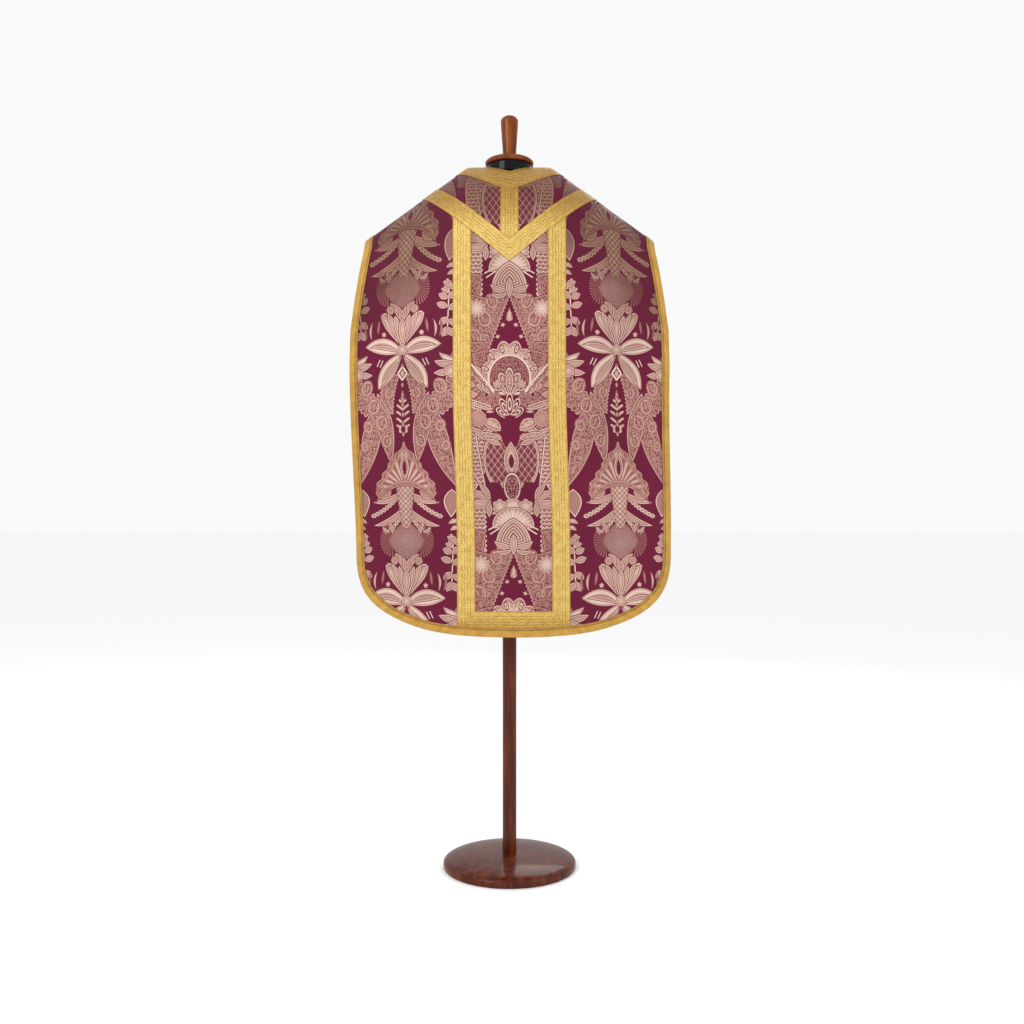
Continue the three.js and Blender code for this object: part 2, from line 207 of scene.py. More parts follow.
def cloth_point(x, run):
    """The inner face of the cloth at side position x, run along it from the ridge."""
    depth, drop, arch = depth_at(x), drop_at(x), arch_run(x)
    angle = min(1.0, abs(run) / arch) * math.pi / 2
    z = ridge_height(x) - drop * (1 - math.cos(angle)) - max(0.0, abs(run) - arch)
    creases = CREASES_BEHIND if run > 0 else CREASES_BEFORE
    out = (depth + fold_at(x, z)) * math.sin(angle) + crease_at(x, z, creases)
    return Vector((x + sway(z), -math.copysign(out, run), z))


def cloth_normal(x, run, step=1 * MM):
    across = cloth_point(x + step, run) - cloth_point(x - step, run)
    back = cloth_point(x, run + step) - cloth_point(x, run - step)
    return back.cross(across).normalized()


def run_at(x, z):
    """How far along the cloth the height z lies below the ridge."""
    below = ridge_height(x) - z
    drop, arch = drop_at(x), arch_run(x)
    if below >= drop:
        return arch + below - drop
    return arch * math.acos(1 - max(0.0, below) / drop) / (math.pi / 2)


# %% [markdown]
# ## Lines on the cutting table
# A pattern piece is bounded by lines: the pointed seam of the yoke, the neck, the outer edges and
# the hem. Each is worked out here as flat points of x and run. A line given by heights is turned
# into runs with run_at, so it looks straight from behind as it does on the real vestment, where
# seams are pinned on the form and not on the table.

# %% Line helpers
def flat(points, side):
    """Heights (x, z) as flat points (x, run): side is 1 behind the ridge and -1 in front."""
    return [(x, side * run_at(x, z)) for x, z in points]


def in_metres(rows):
    return [tuple(value * MM for value in row) for row in rows]


def lengths_along(points):
    """How far along a line each of its points lies."""
    lengths = [0.0]
    for a, b in zip(points, points[1:]):
        lengths.append(lengths[-1] + math.hypot(b[0] - a[0], b[1] - a[1]))
    return lengths


def spread(points, count):
    """The same line in count equal steps of its length."""
    lengths = lengths_along(points)
    line, i = [], 0
    for k in range(count + 1):
        goal = lengths[-1] * k / count
        while i < len(points) - 2 and lengths[i + 1] < goal:
            i += 1
        t = (goal - lengths[i]) / max(lengths[i + 1] - lengths[i], 1e-9)
        a, b = points[i], points[i + 1]
        line.append((a[0] + (b[0] - a[0]) * t, a[1] + (b[1] - a[1]) * t))
    return line


def stretches(*parts):
    """Joins lines that meet, each spread over its own number of steps: (points, count) pairs."""
    line = []
    for points, count in parts:
        line += spread(points, count)[:-1]
    return line + [parts[-1][0][-1]]


def half_from_table(table, z):
    """The half width at height z, straight between the rows of a table of (z, half)."""
    if z >= table[0][0]:
        return table[0][1]
    for (z0, half0), (z1, half1) in zip(table, table[1:]):
        if z >= z1:
            return half0 + (half1 - half0) * (z0 - z) / (z0 - z1)
    return table[-1][1]


# %% [markdown]
# ## The outer edges
# The back is a broad shield that widens slowly to rounded lower corners. The front is narrower and
# waisted, so that the arms are free: the violin shape that gives this cut its nickname. The rounded
# corners are quarters of a superellipse, which is flatter than a circle along the hem.

# %% Outline tables, (height, half width)
BACK_SIDE = in_metres([
    (1534, 349), (1497, 350), (1449, 359), (1377, 372), (1305, 383), (1221, 385.5), (1016, 382),
    (896, 380), (776, 377.5),
])
FRONT_SIDE = in_metres([
    (1526, 349), (1502, 322), (1460, 296), (1405, 273), (1340, 257), (1270, 250), (1190, 252),
    (1090, 262), (980, 279), (900, 292), (840, 300),
])
BACK_HEM, FRONT_HEM = 578 * MM, 660 * MM
BACK, FRONT = (BACK_SIDE, BACK_HEM), (FRONT_SIDE, FRONT_HEM)
BACK_GALLOON_TOP, FRONT_GALLOON_TOP = 637 * MM, 719 * MM
HEM_POWER = 2.75
SHOULDER_HALF = 349 * MM


def side_line(table, inset, top=None, step=12 * MM):
    """The side edge from height top down to where the rounded corner starts, as heights."""
    top = table[0][0] if top is None else top
    count = max(1, round((top - table[-1][0]) / step))
    heights = [top + (table[-1][0] - top) * k / count for k in range(count + 1)]
    return [(half_from_table(table, z) - inset, z) for z in heights]


def hem_line(table, hem, inset, first=0.0, last=1.0, count=60):
    """The rounded corner and the hem, from the side (0) to the centre line (1), as heights."""
    width, height = table[-1][1] - inset, table[-1][0] - hem - inset
    points = []
    for k in range(count + 1):
        angle = math.pi / 2 * (first + (last - first) * k / count)
        x = width * max(0.0, math.cos(angle)) ** (2 / HEM_POWER)
        points.append((x, table[-1][0] - height * math.sin(angle) ** (2 / HEM_POWER)))
    return points


def hem_height(table, hem, inset, x):
    width, height = table[-1][1] - inset, table[-1][0] - hem - inset
    return table[-1][0] - height * (1 - min(1.0, x / width) ** HEM_POWER) ** (1 / HEM_POWER)


# %% [markdown]
# ## The yoke's pointed seam and the neck
# Behind, the front's shoulders come over and meet the back in a wide V. The seam rises to the
# shoulder ridge and runs a little way down the front to the armhole. Offset moves it up or down, so
# the same line gives the two cut edges and both edges of the galloon that covers them.

# %% Seam and neck lines
YOKE_POINT, YOKE_SLOPE, YOKE_HALF_HEIGHT = 1475 * MM, 0.822, 25.8 * MM
YOKE_LEAN, YOKE_SPREAD = 0.7, 0.06
SEAM_ALLOWANCE = 0.55 * MM
NECK_HALF, NECK_BACK = 58 * MM, 1679 * MM
BAND_HALF, BAND_BACK = 133 * MM, 1619 * MM


def seam_behind(offset, count=60, start=0.0):
    """The pointed seam from the centre line to the ridge, as flat points."""
    level = YOKE_POINT + offset
    crossing = (RIDGE_TOP + RIDGE_SLOPE * RIDGE_LEVEL_HALF - level) / (YOKE_SLOPE + RIDGE_SLOPE)
    xs = [start + (crossing - start) * k / count for k in range(count + 1)]
    line = flat([(x, level + YOKE_SLOPE * x) for x in xs], 1)
    return line[:-1] + [(crossing, 0.0)]


def seam_before(offset, inset, count=40):
    """The seam from the ridge down the front, to the side edge less inset, as flat points."""
    crossing = seam_behind(offset)[-1][0]
    lean = YOKE_LEAN - YOKE_SPREAD * offset / YOKE_HALF_HEIGHT
    low, high = 0.0, 0.25
    for _ in range(30):
        run = (low + high) / 2
        x = crossing + lean * run
        inside = x < half_from_table(FRONT_SIDE, cloth_point(x, run)[2]) - inset
        low, high = (run, high) if inside else (low, run)
    return [(crossing + lean * low * k / count, -low * k / count) for k in range(count + 1)]


def neck_v(half, point, x):
    """The height at x of a shallow V from its point on the centre line to the ridge at half."""
    return point + (ridge_height(half) - point) / half * x


def armhole_from(end, inset):
    """The side edge from the end of the seam up the front and over the shoulder, flat points."""
    top = cloth_point(end[0], end[1])[2]
    # Heights in front rise from the seam's end to where the edge is straight.
    heights = [top + (FRONT_SIDE[0][0] - top) * k / 24 for k in range(25)]
    line = flat([(half_from_table(FRONT_SIDE, z) - inset, z) for z in heights], -1)
    line[0] = end
    return line + [(SHOULDER_HALF - inset, 0.0)]


# %% [markdown]
# ## Cutting flat, then hanging
# A bmesh grid is the cloth on the cutting table. Its long edges follow an inner and an outer line,
# its short edges may be curves too, and half a pattern is mirrored on the fold as a tailor cuts it.
# Before it is hung, every point keeps its place on the woven grain in an attribute, so the pattern
# follows the cloth over the shoulder and into the folds.

# %% Cut, mirror and hang
def arc_across(x, steps=24):
    """The cloth's own width from the centre line out to x: it bulges, so it is longer than x."""
    total, last = 0.0, depth_at(0)
    for k in range(1, steps + 1):
        depth = depth_at(x * k / steps)
        total += math.hypot(x / steps, depth - last)
        last = depth
    return math.copysign(total, x)


def grain_height(x, run):
    """The height along the lengthwise threads, equal to the real height where the cloth hangs."""
    return ridge_height(x) + arch_run(x) - drop_at(x) - abs(run)


def even(count, lift):
    """A profile for a plain width of cloth: count cells across, all at one lift."""
    return [(k / count, lift) for k in range(count + 1)]


def lay_flat(inner, outer, profile, top=None, bottom=None):
    """A flat piece between two lines with as many points each, (share, lift) across it."""
    rows, across = len(inner) - 1, len(profile) - 1
    bm = bmesh.new()
    bmesh.ops.create_grid(bm, x_segments=across, y_segments=rows, size=1)
    place = bm.verts.layers.float_vector.new("place")
    for vert in bm.verts:
        column = round((vert.co.x + 1) / 2 * across)
        row = round((vert.co.y + 1) / 2 * rows)
        t = row / rows
        share, lift = profile[column]
        spot = Vector(inner[row]).lerp(Vector(outer[row]), share)
        if top:
            spot += (1 - t) * (Vector(top[column]) - Vector(inner[0]).lerp(Vector(outer[0]), share))
        if bottom:
            spot += t * (Vector(bottom[column]) - Vector(inner[-1]).lerp(Vector(outer[-1]), share))
        vert[place] = (column / across, t, lift)
        vert.co = (spot.x, spot.y, 0)
    return bm


def mirror_on_fold(bm):
    """The other half of a pattern that was cut on the fold, joined where it touches the fold."""
    everything = bm.verts[:] + bm.edges[:] + bm.faces[:]
    bmesh.ops.mirror(bm, geom=everything, matrix=Matrix(), merge_dist=0.00005, axis="X")
    return bm


def new_piece(name, bm, sharp=None):
    """A finished bmesh as a smooth object on the root, with edges past the sharp angle kept."""
    mesh = bpy.data.meshes.new(name)
    bm.to_mesh(mesh)
    bm.free()
    mesh.shade_smooth()
    if sharp:
        mesh.set_sharp_from_angle(angle=math.radians(sharp))
    piece = bpy.data.objects.new(name, mesh)
    bpy.context.scene.collection.objects.link(piece)
    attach(piece, "root")
    print(f"{name}: {len(mesh.polygons)} faces")
    return piece


def stands_for(node):
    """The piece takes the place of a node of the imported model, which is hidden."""
    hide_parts(node)


def hang(bm, name, weave=None):
    """Moves flat points onto the draped surface, each as far outside it as its lift says."""
    grain = bm.verts.layers.float_vector.new("grain")
    place = bm.verts.layers.float_vector["place"]
    bmesh.ops.recalc_face_normals(bm, faces=bm.faces[:])
    area = sum(face.calc_area() for face in bm.faces)
    for vert in bm.verts:
        x, run, _ = vert.co
        if weave:
            vert[grain] = (*weave(x, run, vert[place]), 0)
        else:
            vert[grain] = (arc_across(x), grain_height(x, run), 0)
        vert.co = cloth_point(x, run) + vert[place].z * cloth_normal(x, run)
    bmesh.ops.recalc_face_normals(bm, faces=bm.faces[:])
    outwards = sum(f.normal.y * f.calc_center_median().y * f.calc_area() for f in bm.faces)
    if outwards < 0:
        bmesh.ops.reverse_faces(bm, faces=bm.faces[:])
    print(f"{name}: flat area {area:.3f} m2")
    return new_piece(name, bm), area


def thicken(piece, thickness, offset, soften=0.0):
    """Gives a hung piece its real thickness, and rounds its cut edges if soften is given."""
    solidify = piece.modifiers.new("thickness", "SOLIDIFY")
    solidify.thickness = thickness
    solidify.offset = offset
    solidify.use_even_offset = True
    if soften:
        bevel = piece.modifiers.new("soft edges", "BEVEL")
        bevel.width = soften
        bevel.segments = 2
        bevel.limit_method = "ANGLE"
        bevel.angle_limit = math.radians(60)


# %% [markdown]
# ## The back
# The back is the larger panel. On the real vestment it is silk brocade, a stiff interlining and a
# lining, sewn together and about two millimetres thick. It is cut on the fold: half a panel, with
# the pointed seam on top, the hem below and the armhole edge running over the shoulder. A thin
# shell is enough, because its wall is only as thick as the real one.

# %% Back panel
EDGE_INSET = 0.8 * MM
CORNER = 0.42  # the share of the rounded corner that counts as the panel's side
back_top = stretches(
    (seam_behind(-SEAM_ALLOWANCE), 44), (seam_before(-SEAM_ALLOWANCE, EDGE_INSET), 20)
)
seam_end = back_top[-1]
back_edge = stretches(
    (armhole_from(seam_end, EDGE_INSET), 30),
    ([(SHOULDER_HALF - EDGE_INSET, 0.0), *flat(side_line(BACK_SIDE, EDGE_INSET), 1)], 124),
    (flat(hem_line(*BACK, EDGE_INSET, 0, CORNER), 1), 22),
)
back_centre = spread(flat([(0, YOKE_POINT - SEAM_ALLOWANCE), (0, BACK_HEM + EDGE_INSET)], 1), 176)
back_bottom = spread(flat(hem_line(*BACK, EDGE_INSET, 1, CORNER), 1), 64)
back_panel, back_area = hang(
    mirror_on_fold(lay_flat(back_centre, back_edge, even(64, CLOTH), back_top, back_bottom)),
    "brocade_back",
)
thicken(back_panel, CLOTH, -1)
stands_for("back_panel")

# %% [markdown]
# ## The front, over the shoulders
# The front is cut as two lengths that are joined at centre back above the V, and its shoulders wrap
# over the ridge. Half of it is a horseshoe around the neck opening: the grid's inner line goes from
# the nape around the neck and down centre front, and its outer line along the pointed seam, the
# armhole and the hem. Only centre front touches the fold, so the centre back stays a seam.

# %% Front panel
NECK_STEPS, RIDGE_STEPS, BASE_STEPS, SEAM_STEPS = 48, 40, 8, 26
half_gap = GAP / 2
nape = flat([(half_gap, NECK_BACK)], 1)
nape += flat([(x * MM, neck_v(NECK_HALF, NECK_BACK, x * MM)) for x in range(4, 58, 3)], 1)
nape = spread(nape + [(NECK_HALF, 0.0)], NECK_STEPS)
neck_front = [(52, 1690), (46, 1668), *((46, z) for z in range(1656, 1528, -12))]
neck_front += [(46, 1528), (41, 1515), (28, 1510)]
neck_front = [(NECK_HALF, 0.0)] + flat(in_metres(neck_front), -1)
neck_base = flat(in_metres([(28, 1510), (0, 1510)]), -1)
centre_front = flat([(0, 1510 * MM), (0, FRONT_HEM + EDGE_INSET)], -1)
front_inner = stretches(
    (nape, NECK_STEPS), (neck_front, RIDGE_STEPS), (neck_base, BASE_STEPS), (centre_front, 142)
)
front_seam = seam_before(SEAM_ALLOWANCE, EDGE_INSET)
front_end = cloth_point(*front_seam[-1])[2]
front_side = flat(side_line(FRONT_SIDE, EDGE_INSET, front_end), -1)
front_side[0] = front_seam[-1]
front_outer = stretches(
    (seam_behind(SEAM_ALLOWANCE, start=half_gap), NECK_STEPS),
    (front_seam, SEAM_STEPS),
    (front_side, RIDGE_STEPS + BASE_STEPS - SEAM_STEPS + 104),
    (flat(hem_line(*FRONT, EDGE_INSET, 0, CORNER), -1), 38),
)
centre_back = spread(flat([(half_gap, NECK_BACK), (half_gap, YOKE_POINT + SEAM_ALLOWANCE)], 1), 44)
front_bottom = spread(flat(hem_line(*FRONT, EDGE_INSET, 1, CORNER), -1), 44)
front_panel, front_area = hang(
    mirror_on_fold(lay_flat(front_inner, front_outer, even(44, CLOTH), centre_back, front_bottom)),
    "brocade_front",
)
thicken(front_panel, CLOTH, -1)
stands_for("front_panel")

# %% [markdown]
# ## Galloons
# Galloon is a stiff woven ribbon of gold thread. It lies flat on the cloth, is mitred where two
# lengths meet, and is as thick as a coin. Each length is a strip between its two edges on the
# cutting table. Its own attribute says how far along and across the ribbon a point is, so that the
# ribbon's weave runs along it, around the neck as well as down the columns.

# %% How a ribbon lies
COLUMN_INNER = 88.8 * MM
YOKE_WIDTH = 40 * MM
INSET = BINDING_WIDTH + GAP
RIBBON = even(12, LIFT + GALLOON / 2)


def line_weave(width, inner, outer):
    """The weave of a ribbon that bends: along it by its rows, across it by its columns."""
    lengths = lengths_along([((a[0] + b[0]) / 2, (a[1] + b[1]) / 2) for a, b in zip(inner, outer)])
    rows = len(lengths) - 1
    return lambda x, run, place: (lengths[round(place.y * rows)], (place.x - 0.5) * width)


def ribbon(name, node, inner, outer, weave, top=None, bottom=None, fold=False):
    """A length of galloon in place of its CAD node."""
    bm = lay_flat(inner, outer, RIBBON, top, bottom)
    piece, _ = hang(mirror_on_fold(bm) if fold else bm, name, weave)
    thicken(piece, GALLOON, 0, 0.35 * MM)
    stands_for(node)
    return piece


# %% Neck and yoke galloons
# The outer edge in front, in millimetres: where it bends, and the galloon's two corners.
BEND, CORNER_HIGH, CORNER_LOW = (110, 1674), (88.5, 1650), (77, 1467.5)
neck_in = stretches((nape, 30), (neck_front, 46), (neck_base, 8))
neck_in[0] = (0.0, neck_in[0][1])
band_v = flat([(x * MM, neck_v(BAND_HALF, BAND_BACK, x * MM)) for x in range(0, 131, 5)], 1)
band_front = [BEND, CORNER_HIGH, *((CORNER_HIGH[0], z) for z in range(1640, 1480, -10))]
band_front += [(CORNER_HIGH[0], 1480), CORNER_LOW]
band_front = [(BAND_HALF, 0.0)] + flat(in_metres(band_front), -1)
band_base = flat(in_metres([CORNER_LOW, (0, CORNER_LOW[1])]), -1)
neck_out = stretches((band_v + [(BAND_HALF, 0.0)], 30), (band_front, 46), (band_base, 8))
neck_galloon = ribbon(
    "galloon_neck", "neck_galloon", neck_in, neck_out,
    line_weave(GALLOON_WIDTH, neck_in, neck_out), fold=True,
)

yoke_edges = [
    stretches((seam_behind(offset), 64), (seam_before(offset, INSET), 32))
    for offset in (-YOKE_HALF_HEIGHT, YOKE_HALF_HEIGHT)
]
yoke_galloon = ribbon(
    "galloon_yoke", "yoke_galloon", *yoke_edges, line_weave(YOKE_WIDTH, *yoke_edges), fold=True
)


# %% Upright galloons
def upright(centre):
    """The weave of a ribbon that hangs along the threads at side position centre."""
    middle = arc_across(centre)
    return lambda x, run, place: (grain_height(x, run), arc_across(x) - middle)


def column(name, node, sign, low, high, side):
    """One upright ribbon: low and high give the heights of its cut ends at side position x."""
    xs = [sign * (COLUMN_INNER + GALLOON_WIDTH * k / 12) for k in range(13)]
    edges = []
    for x in (xs[0], xs[-1]):
        start, end = high(abs(x)), low(abs(x))
        edges.append(flat([(x, start + (end - start) * k / 170) for k in range(171)], side))
    tops = flat([(x, high(abs(x))) for x in xs], side)
    bottoms = flat([(x, low(abs(x))) for x in xs], side)
    weave = upright(sign * (COLUMN_INNER + GALLOON_WIDTH / 2))
    return ribbon(name, node, *edges, weave, tops, bottoms)


def foot_above(panel, galloon_top):
    """A column's lower end: the mitre over a hem galloon, and no lower than the hem's binding."""
    return lambda x: max(galloon_top + GAP - (x - COLUMN_INNER), hem_height(*panel, INSET, x))


def back_head(x):
    return YOKE_POINT - YOKE_HALF_HEIGHT - GAP + YOKE_SLOPE * x


def front_head(x):
    """Under the corner of the neck galloon, which rises in two slopes to the ridge."""
    (corner, low), (bend, middle) = in_metres([CORNER_HIGH, BEND])
    if x < bend:
        return low + (x - corner) * (middle - low) / (bend - corner) - GAP
    return middle + (ridge_height(BAND_HALF) - middle) * (x - bend) / (BAND_HALF - bend) - GAP


columns = []
for hand, sign in (("left", -1), ("right", 1)):
    for face, ends, side in (
        ("back", (foot_above(BACK, BACK_GALLOON_TOP), back_head), 1),
        ("front", (foot_above(FRONT, FRONT_GALLOON_TOP), front_head), -1),
    ):
        names = f"galloon_{face}_{hand}", f"{face}_column_galloon_{hand}"
        columns.append(column(*names, sign, *ends, side))

half_ribbon = GALLOON_WIDTH / 2
xs = [half_ribbon * k / 12 for k in range(13)]
centre_high = [neck_v(BAND_HALF, BAND_BACK, x) - GAP for x in xs]
centre_low = [YOKE_POINT + YOKE_HALF_HEIGHT + GAP + YOKE_SLOPE * x for x in xs]
edges = []
for x, start, end in ((xs[i], centre_high[i], centre_low[i]) for i in (0, -1)):
    edges.append(flat([(x, start + (end - start) * k / 24) for k in range(25)], 1))
centre_galloon = ribbon(
    "galloon_yoke_centre", "yoke_centre_galloon", *edges, upright(0),
    flat(list(zip(xs, centre_high)), 1), flat(list(zip(xs, centre_low)), 1), fold=True,
)


# %% Hem galloons, mitred at both ends
def hem_ribbon(face, panel, galloon_top, side):
    top = [(COLUMN_INNER * k / 60, galloon_top) for k in range(61)]
    foot = COLUMN_INNER
    while galloon_top - (foot - COLUMN_INNER) > hem_height(*panel, INSET, foot):
        foot += 0.1 * MM
    low = [(foot * k / 60, hem_height(*panel, INSET, foot * k / 60)) for k in range(61)]
    middle = galloon_top - GALLOON_WIDTH / 2

    def weave(x, run, place):
        return arc_across(x), grain_height(x, run) - middle

    names = f"galloon_{face}_hem", f"{face}_hem_galloon"
    return ribbon(*names, flat(low, side), flat(top, side), weave, fold=True)


hem_galloons = [
    hem_ribbon("back", BACK, BACK_GALLOON_TOP, 1), hem_ribbon("front", FRONT, FRONT_GALLOON_TOP, -1)
]

# %% [markdown]
# ## The binding
# The outer edges are bound with a softer gold braid, folded over the raw edge and sewn through. Its
# profile is laid out across the strip: flat on the outer face, round over the edge, and a narrower
# turn on the inside. Each binding starts at the pointed seam and goes around its own panel.

# %% Back and front bindings
BRAID = 1.0 * MM


BRAID_CROWN, BRAID_INSIDE = 0.3 * MM, -0.7 * MM  # how far it swells outside, and lies inside
FOLD_FROM, FOLD_REACH, TURN_IN = 0.93, 0.11, 0.68  # shares of the binding's width
BRAID_SPAN = 34 * MM  # the braid's width around the fold, for its weave


def fold_profile():
    """(share of the binding's width, lift) from its inner edge, round the hem, to the inside."""
    outer, inner = LIFT + GALLOON - BRAID / 2, BRAID_INSIDE
    profile = []
    for k in range(10):
        profile.append((k / 9 * FOLD_FROM, outer + BRAID_CROWN * math.sin(math.pi * k / 9)))
    middle, radius = (outer + inner) / 2, (outer - inner) / 2
    for k in range(1, 8):
        angle = math.pi * k / 8
        share = FOLD_FROM + FOLD_REACH * math.sin(angle)
        profile.append((share, middle + radius * math.cos(angle)))
    return profile + [(FOLD_FROM - k / 6 * TURN_IN, inner) for k in range(7)]


def binding(name, node, inner, outer):
    bm = mirror_on_fold(lay_flat(inner, outer, fold_profile()))
    piece, _ = hang(bm, name, line_weave(BRAID_SPAN, inner, outer))
    thicken(piece, BRAID, 0)
    stands_for(node)
    return piece


back_lines, front_lines = [], []
for inset in (BINDING_WIDTH, 0.0):
    end = seam_before(-SEAM_ALLOWANCE, inset)[-1]
    back_lines.append(
        stretches(
            (armhole_from(end, inset), 34),
            ([(SHOULDER_HALF - inset, 0.0), *flat(side_line(BACK_SIDE, inset), 1)], 130),
            (flat(hem_line(*BACK, inset), 1), 84),
        )
    )
    end = seam_before(SEAM_ALLOWANCE, inset)[-1]
    side = flat(side_line(FRONT_SIDE, inset, cloth_point(*end)[2]), -1)
    side[0] = end
    front_lines.append(
        stretches((side, 110), (flat(hem_line(*FRONT, inset), -1), 74))
    )
back_binding = binding("braid_back", "back_binding", *back_lines)
front_binding = binding("braid_front", "front_binding", *front_lines)

# %% [markdown]
# ## Cut sizes
# The rectangle each panel was cut from is worked out from its flat lines and printed, with the flat
# area that was laid out above.

# %% Cut sizes
def cut_size(inner, outer):
    xs = [abs(x) for x, run in inner + outer]
    runs = [run for x, run in inner + outer]
    return 2 * arc_across(max(xs)), max(runs) - min(runs)


back_cut = cut_size(back_centre, back_edge)
front_cut = cut_size(front_inner, front_outer)
print("back cut", back_cut, back_area, "front cut", front_cut, front_area)

# %% [markdown]
# ## The dress form and its stand
# Turned wood is made on a lathe, and a lathe is what spin is: a profile line turned about the
# upright axis. The torso is a lofted shell: a ring of edges is extruded upwards and resized at each
# height, then subdivided so that it is smooth from the sides, where the open armholes show it.

# %% Lathe and loft
def turned(name, profile, steps=96):
    """A profile of (radius, height) spun about the upright axis, from bottom to top."""
    bm = bmesh.new()
    verts = [bm.verts.new((radius, 0, z)) for radius, z in profile]
    edges = [bm.edges.new(pair) for pair in zip(verts, verts[1:])]
    bmesh.ops.spin(
        bm, geom=verts + edges, cent=(0, 0, 0), axis=(0, 0, 1), angle=math.tau, steps=steps,
        use_merge=True,
    )
    bmesh.ops.remove_doubles(bm, verts=bm.verts[:], dist=1e-6)
    bmesh.ops.recalc_face_normals(bm, faces=bm.faces[:])
    return new_piece(name, bm, sharp=42)


def rounded(points, radius, steps=5):
    """Rounds the inner corners of a profile, as a turner's chisel leaves them."""
    line = [points[0]]
    for before, corner, after in zip(points, points[1:], points[2:]):
        a, c, b = Vector(before), Vector(corner), Vector(after)
        reach = min(radius, (a - c).length * 0.45, (b - c).length * 0.45)
        start, end = c + (a - c).normalized() * reach, c + (b - c).normalized() * reach
        for k in range(steps + 1):
            t = k / steps
            line.append(tuple(start * (1 - t) ** 2 + c * 2 * t * (1 - t) + end * t**2))
    return line + [points[-1]]


def dome(rim, rim_z, top, top_z, steps):
    """A quarter of an ellipse from the rim's radius and height to the top's."""
    angles = [math.pi / 2 * k / steps for k in range(steps + 1)]
    return [
        (top + (rim - top) * math.cos(angle), rim_z + (top_z - rim_z) * math.sin(angle))
        for angle in angles
    ]


# %% Stand, neck cap and finial
NECK_RADIUS, NECK_TOP = 54 * MM, 1714.5 * MM
POLE_RADIUS = 17 * MM
BASE_RADIUS, BASE_HEIGHT, BASE_EDGE = 161.5 * MM, 37 * MM, 13 * MM
CAP_RADIUS, CAP_TOP, CAP_EDGE = 60 * MM, 1735 * MM, 5 * MM
CAP_BOTTOM = NECK_TOP + GAP
KNOB_BOTTOM, KNOB_TOP, KNOB_HEIGHT = 15.7 * MM, 21.8 * MM, 103 * MM

base_profile = [(0, 0), (BASE_RADIUS - 3 * MM, 0), (BASE_RADIUS, 3 * MM), (BASE_RADIUS, BASE_EDGE)]
base_profile = rounded(base_profile, 2 * MM)
base_profile += dome(BASE_RADIUS, BASE_EDGE, POLE_RADIUS + 6 * MM, BASE_HEIGHT, 24)
stand_base = turned("stand_base_wood", base_profile + [(0, BASE_HEIGHT)], 128)
stands_for("stand_base")

pole_bottom, pole_top = BASE_HEIGHT + GAP, 850 * MM - GAP
stand_pole = turned(
    "stand_pole_wood",
    [(0, pole_bottom), (POLE_RADIUS, pole_bottom), (POLE_RADIUS, pole_top), (0, pole_top)], 64,
)
stands_for("stand_pole")

cap_rim = CAP_BOTTOM + CAP_EDGE
cap_profile = [(0, CAP_BOTTOM), (CAP_RADIUS - 2 * MM, CAP_BOTTOM), (CAP_RADIUS, cap_rim)]
cap_profile = rounded(cap_profile, 2 * MM)
cap_profile += dome(CAP_RADIUS, cap_rim, KNOB_BOTTOM + 4 * MM, CAP_TOP, 18)[1:]
neck_cap = turned("neck_cap_wood", cap_profile + [(0, CAP_TOP)])
stands_for("neck_cap")

knob_low = CAP_TOP + GAP
knob_high = knob_low + KNOB_HEIGHT
knob_profile = [(0, knob_low), (KNOB_BOTTOM, knob_low)]
knob_profile += dome(KNOB_TOP, knob_high - 16 * MM, 0, knob_high, 14)[:-1]
knob = turned("knob_wood_finial", knob_profile + [(0, knob_high)], 72)
stands_for("finial_knob")

# %% The torso
TRUNK = in_metres([  # (height, half width, half depth)
    (850, 140, 88), (878, 156, 100), (960, 168, 107), (1060, 170, 108), (1180, 156, 98),
    (1270, 151, 94), (1380, 175, 104), (1480, 190, 108), (1570, 200, 99), (1618, 197, 88),
])
CLEAR = 0.4 * MM * math.hypot(1, RIDGE_SLOPE)
SHOULDERS = [
    (ridge_height(half) - CLEAR, half, depth)
    for half, depth in in_metres([(185, 74), (168, 65), (151, 56), (134, 47), (117, 38)])
]
NECK_FOOT = (1695 * MM, 92 * MM, 28 * MM)


def rings_between(rings, count):
    """Catmull-Rom rings between the given ones, for a smooth profile that passes through them."""
    padded = [rings[0], *rings, rings[-1]]
    smooth = []
    for i in range(len(rings) - 1):
        p = [Vector(padded[i + j]) for j in range(4)]
        for k in range(count):
            t = k / count
            square = 2 * p[0] - 5 * p[1] + 4 * p[2] - p[3]
            cube = 3 * p[1] - p[0] - 3 * p[2] + p[3]
            smooth.append(0.5 * (2 * p[1] + (p[2] - p[0]) * t + square * t**2 + cube * t**3))
    return smooth + [Vector(rings[-1])]


bm = bmesh.new()
rings = rings_between(TRUNK, 4) + [Vector(ring) for ring in (*SHOULDERS, NECK_FOOT)]
circle = bmesh.ops.create_circle(bm, cap_ends=True, segments=96, radius=1)["verts"]
z, half, depth = rings[0]
bmesh.ops.scale(bm, vec=(half, depth, 1), verts=circle)
bmesh.ops.translate(bm, vec=(0, 0, z), verts=circle)
edges = [edge for edge in bm.edges if edge.is_boundary or len(edge.link_faces) == 1]
for (z0, half0, depth0), (z1, half1, depth1) in zip(rings, rings[1:]):
    grown = bmesh.ops.extrude_edge_only(bm, edges=edges)["geom"]
    verts = [item for item in grown if isinstance(item, bmesh.types.BMVert)]
    edges = [item for item in grown if isinstance(item, bmesh.types.BMEdge)]
    bmesh.ops.scale(bm, vec=(half1 / half0, depth1 / depth0, 1), verts=verts)
    bmesh.ops.translate(bm, vec=(0, 0, z1 - z0), verts=verts)
bmesh.ops.contextual_create(bm, geom=edges)
bmesh.ops.recalc_face_normals(bm, faces=bm.faces[:])
form = new_piece("form_lacquer", bm, sharp=50)
stands_for("form_torso")
neck_low = 1690 * MM
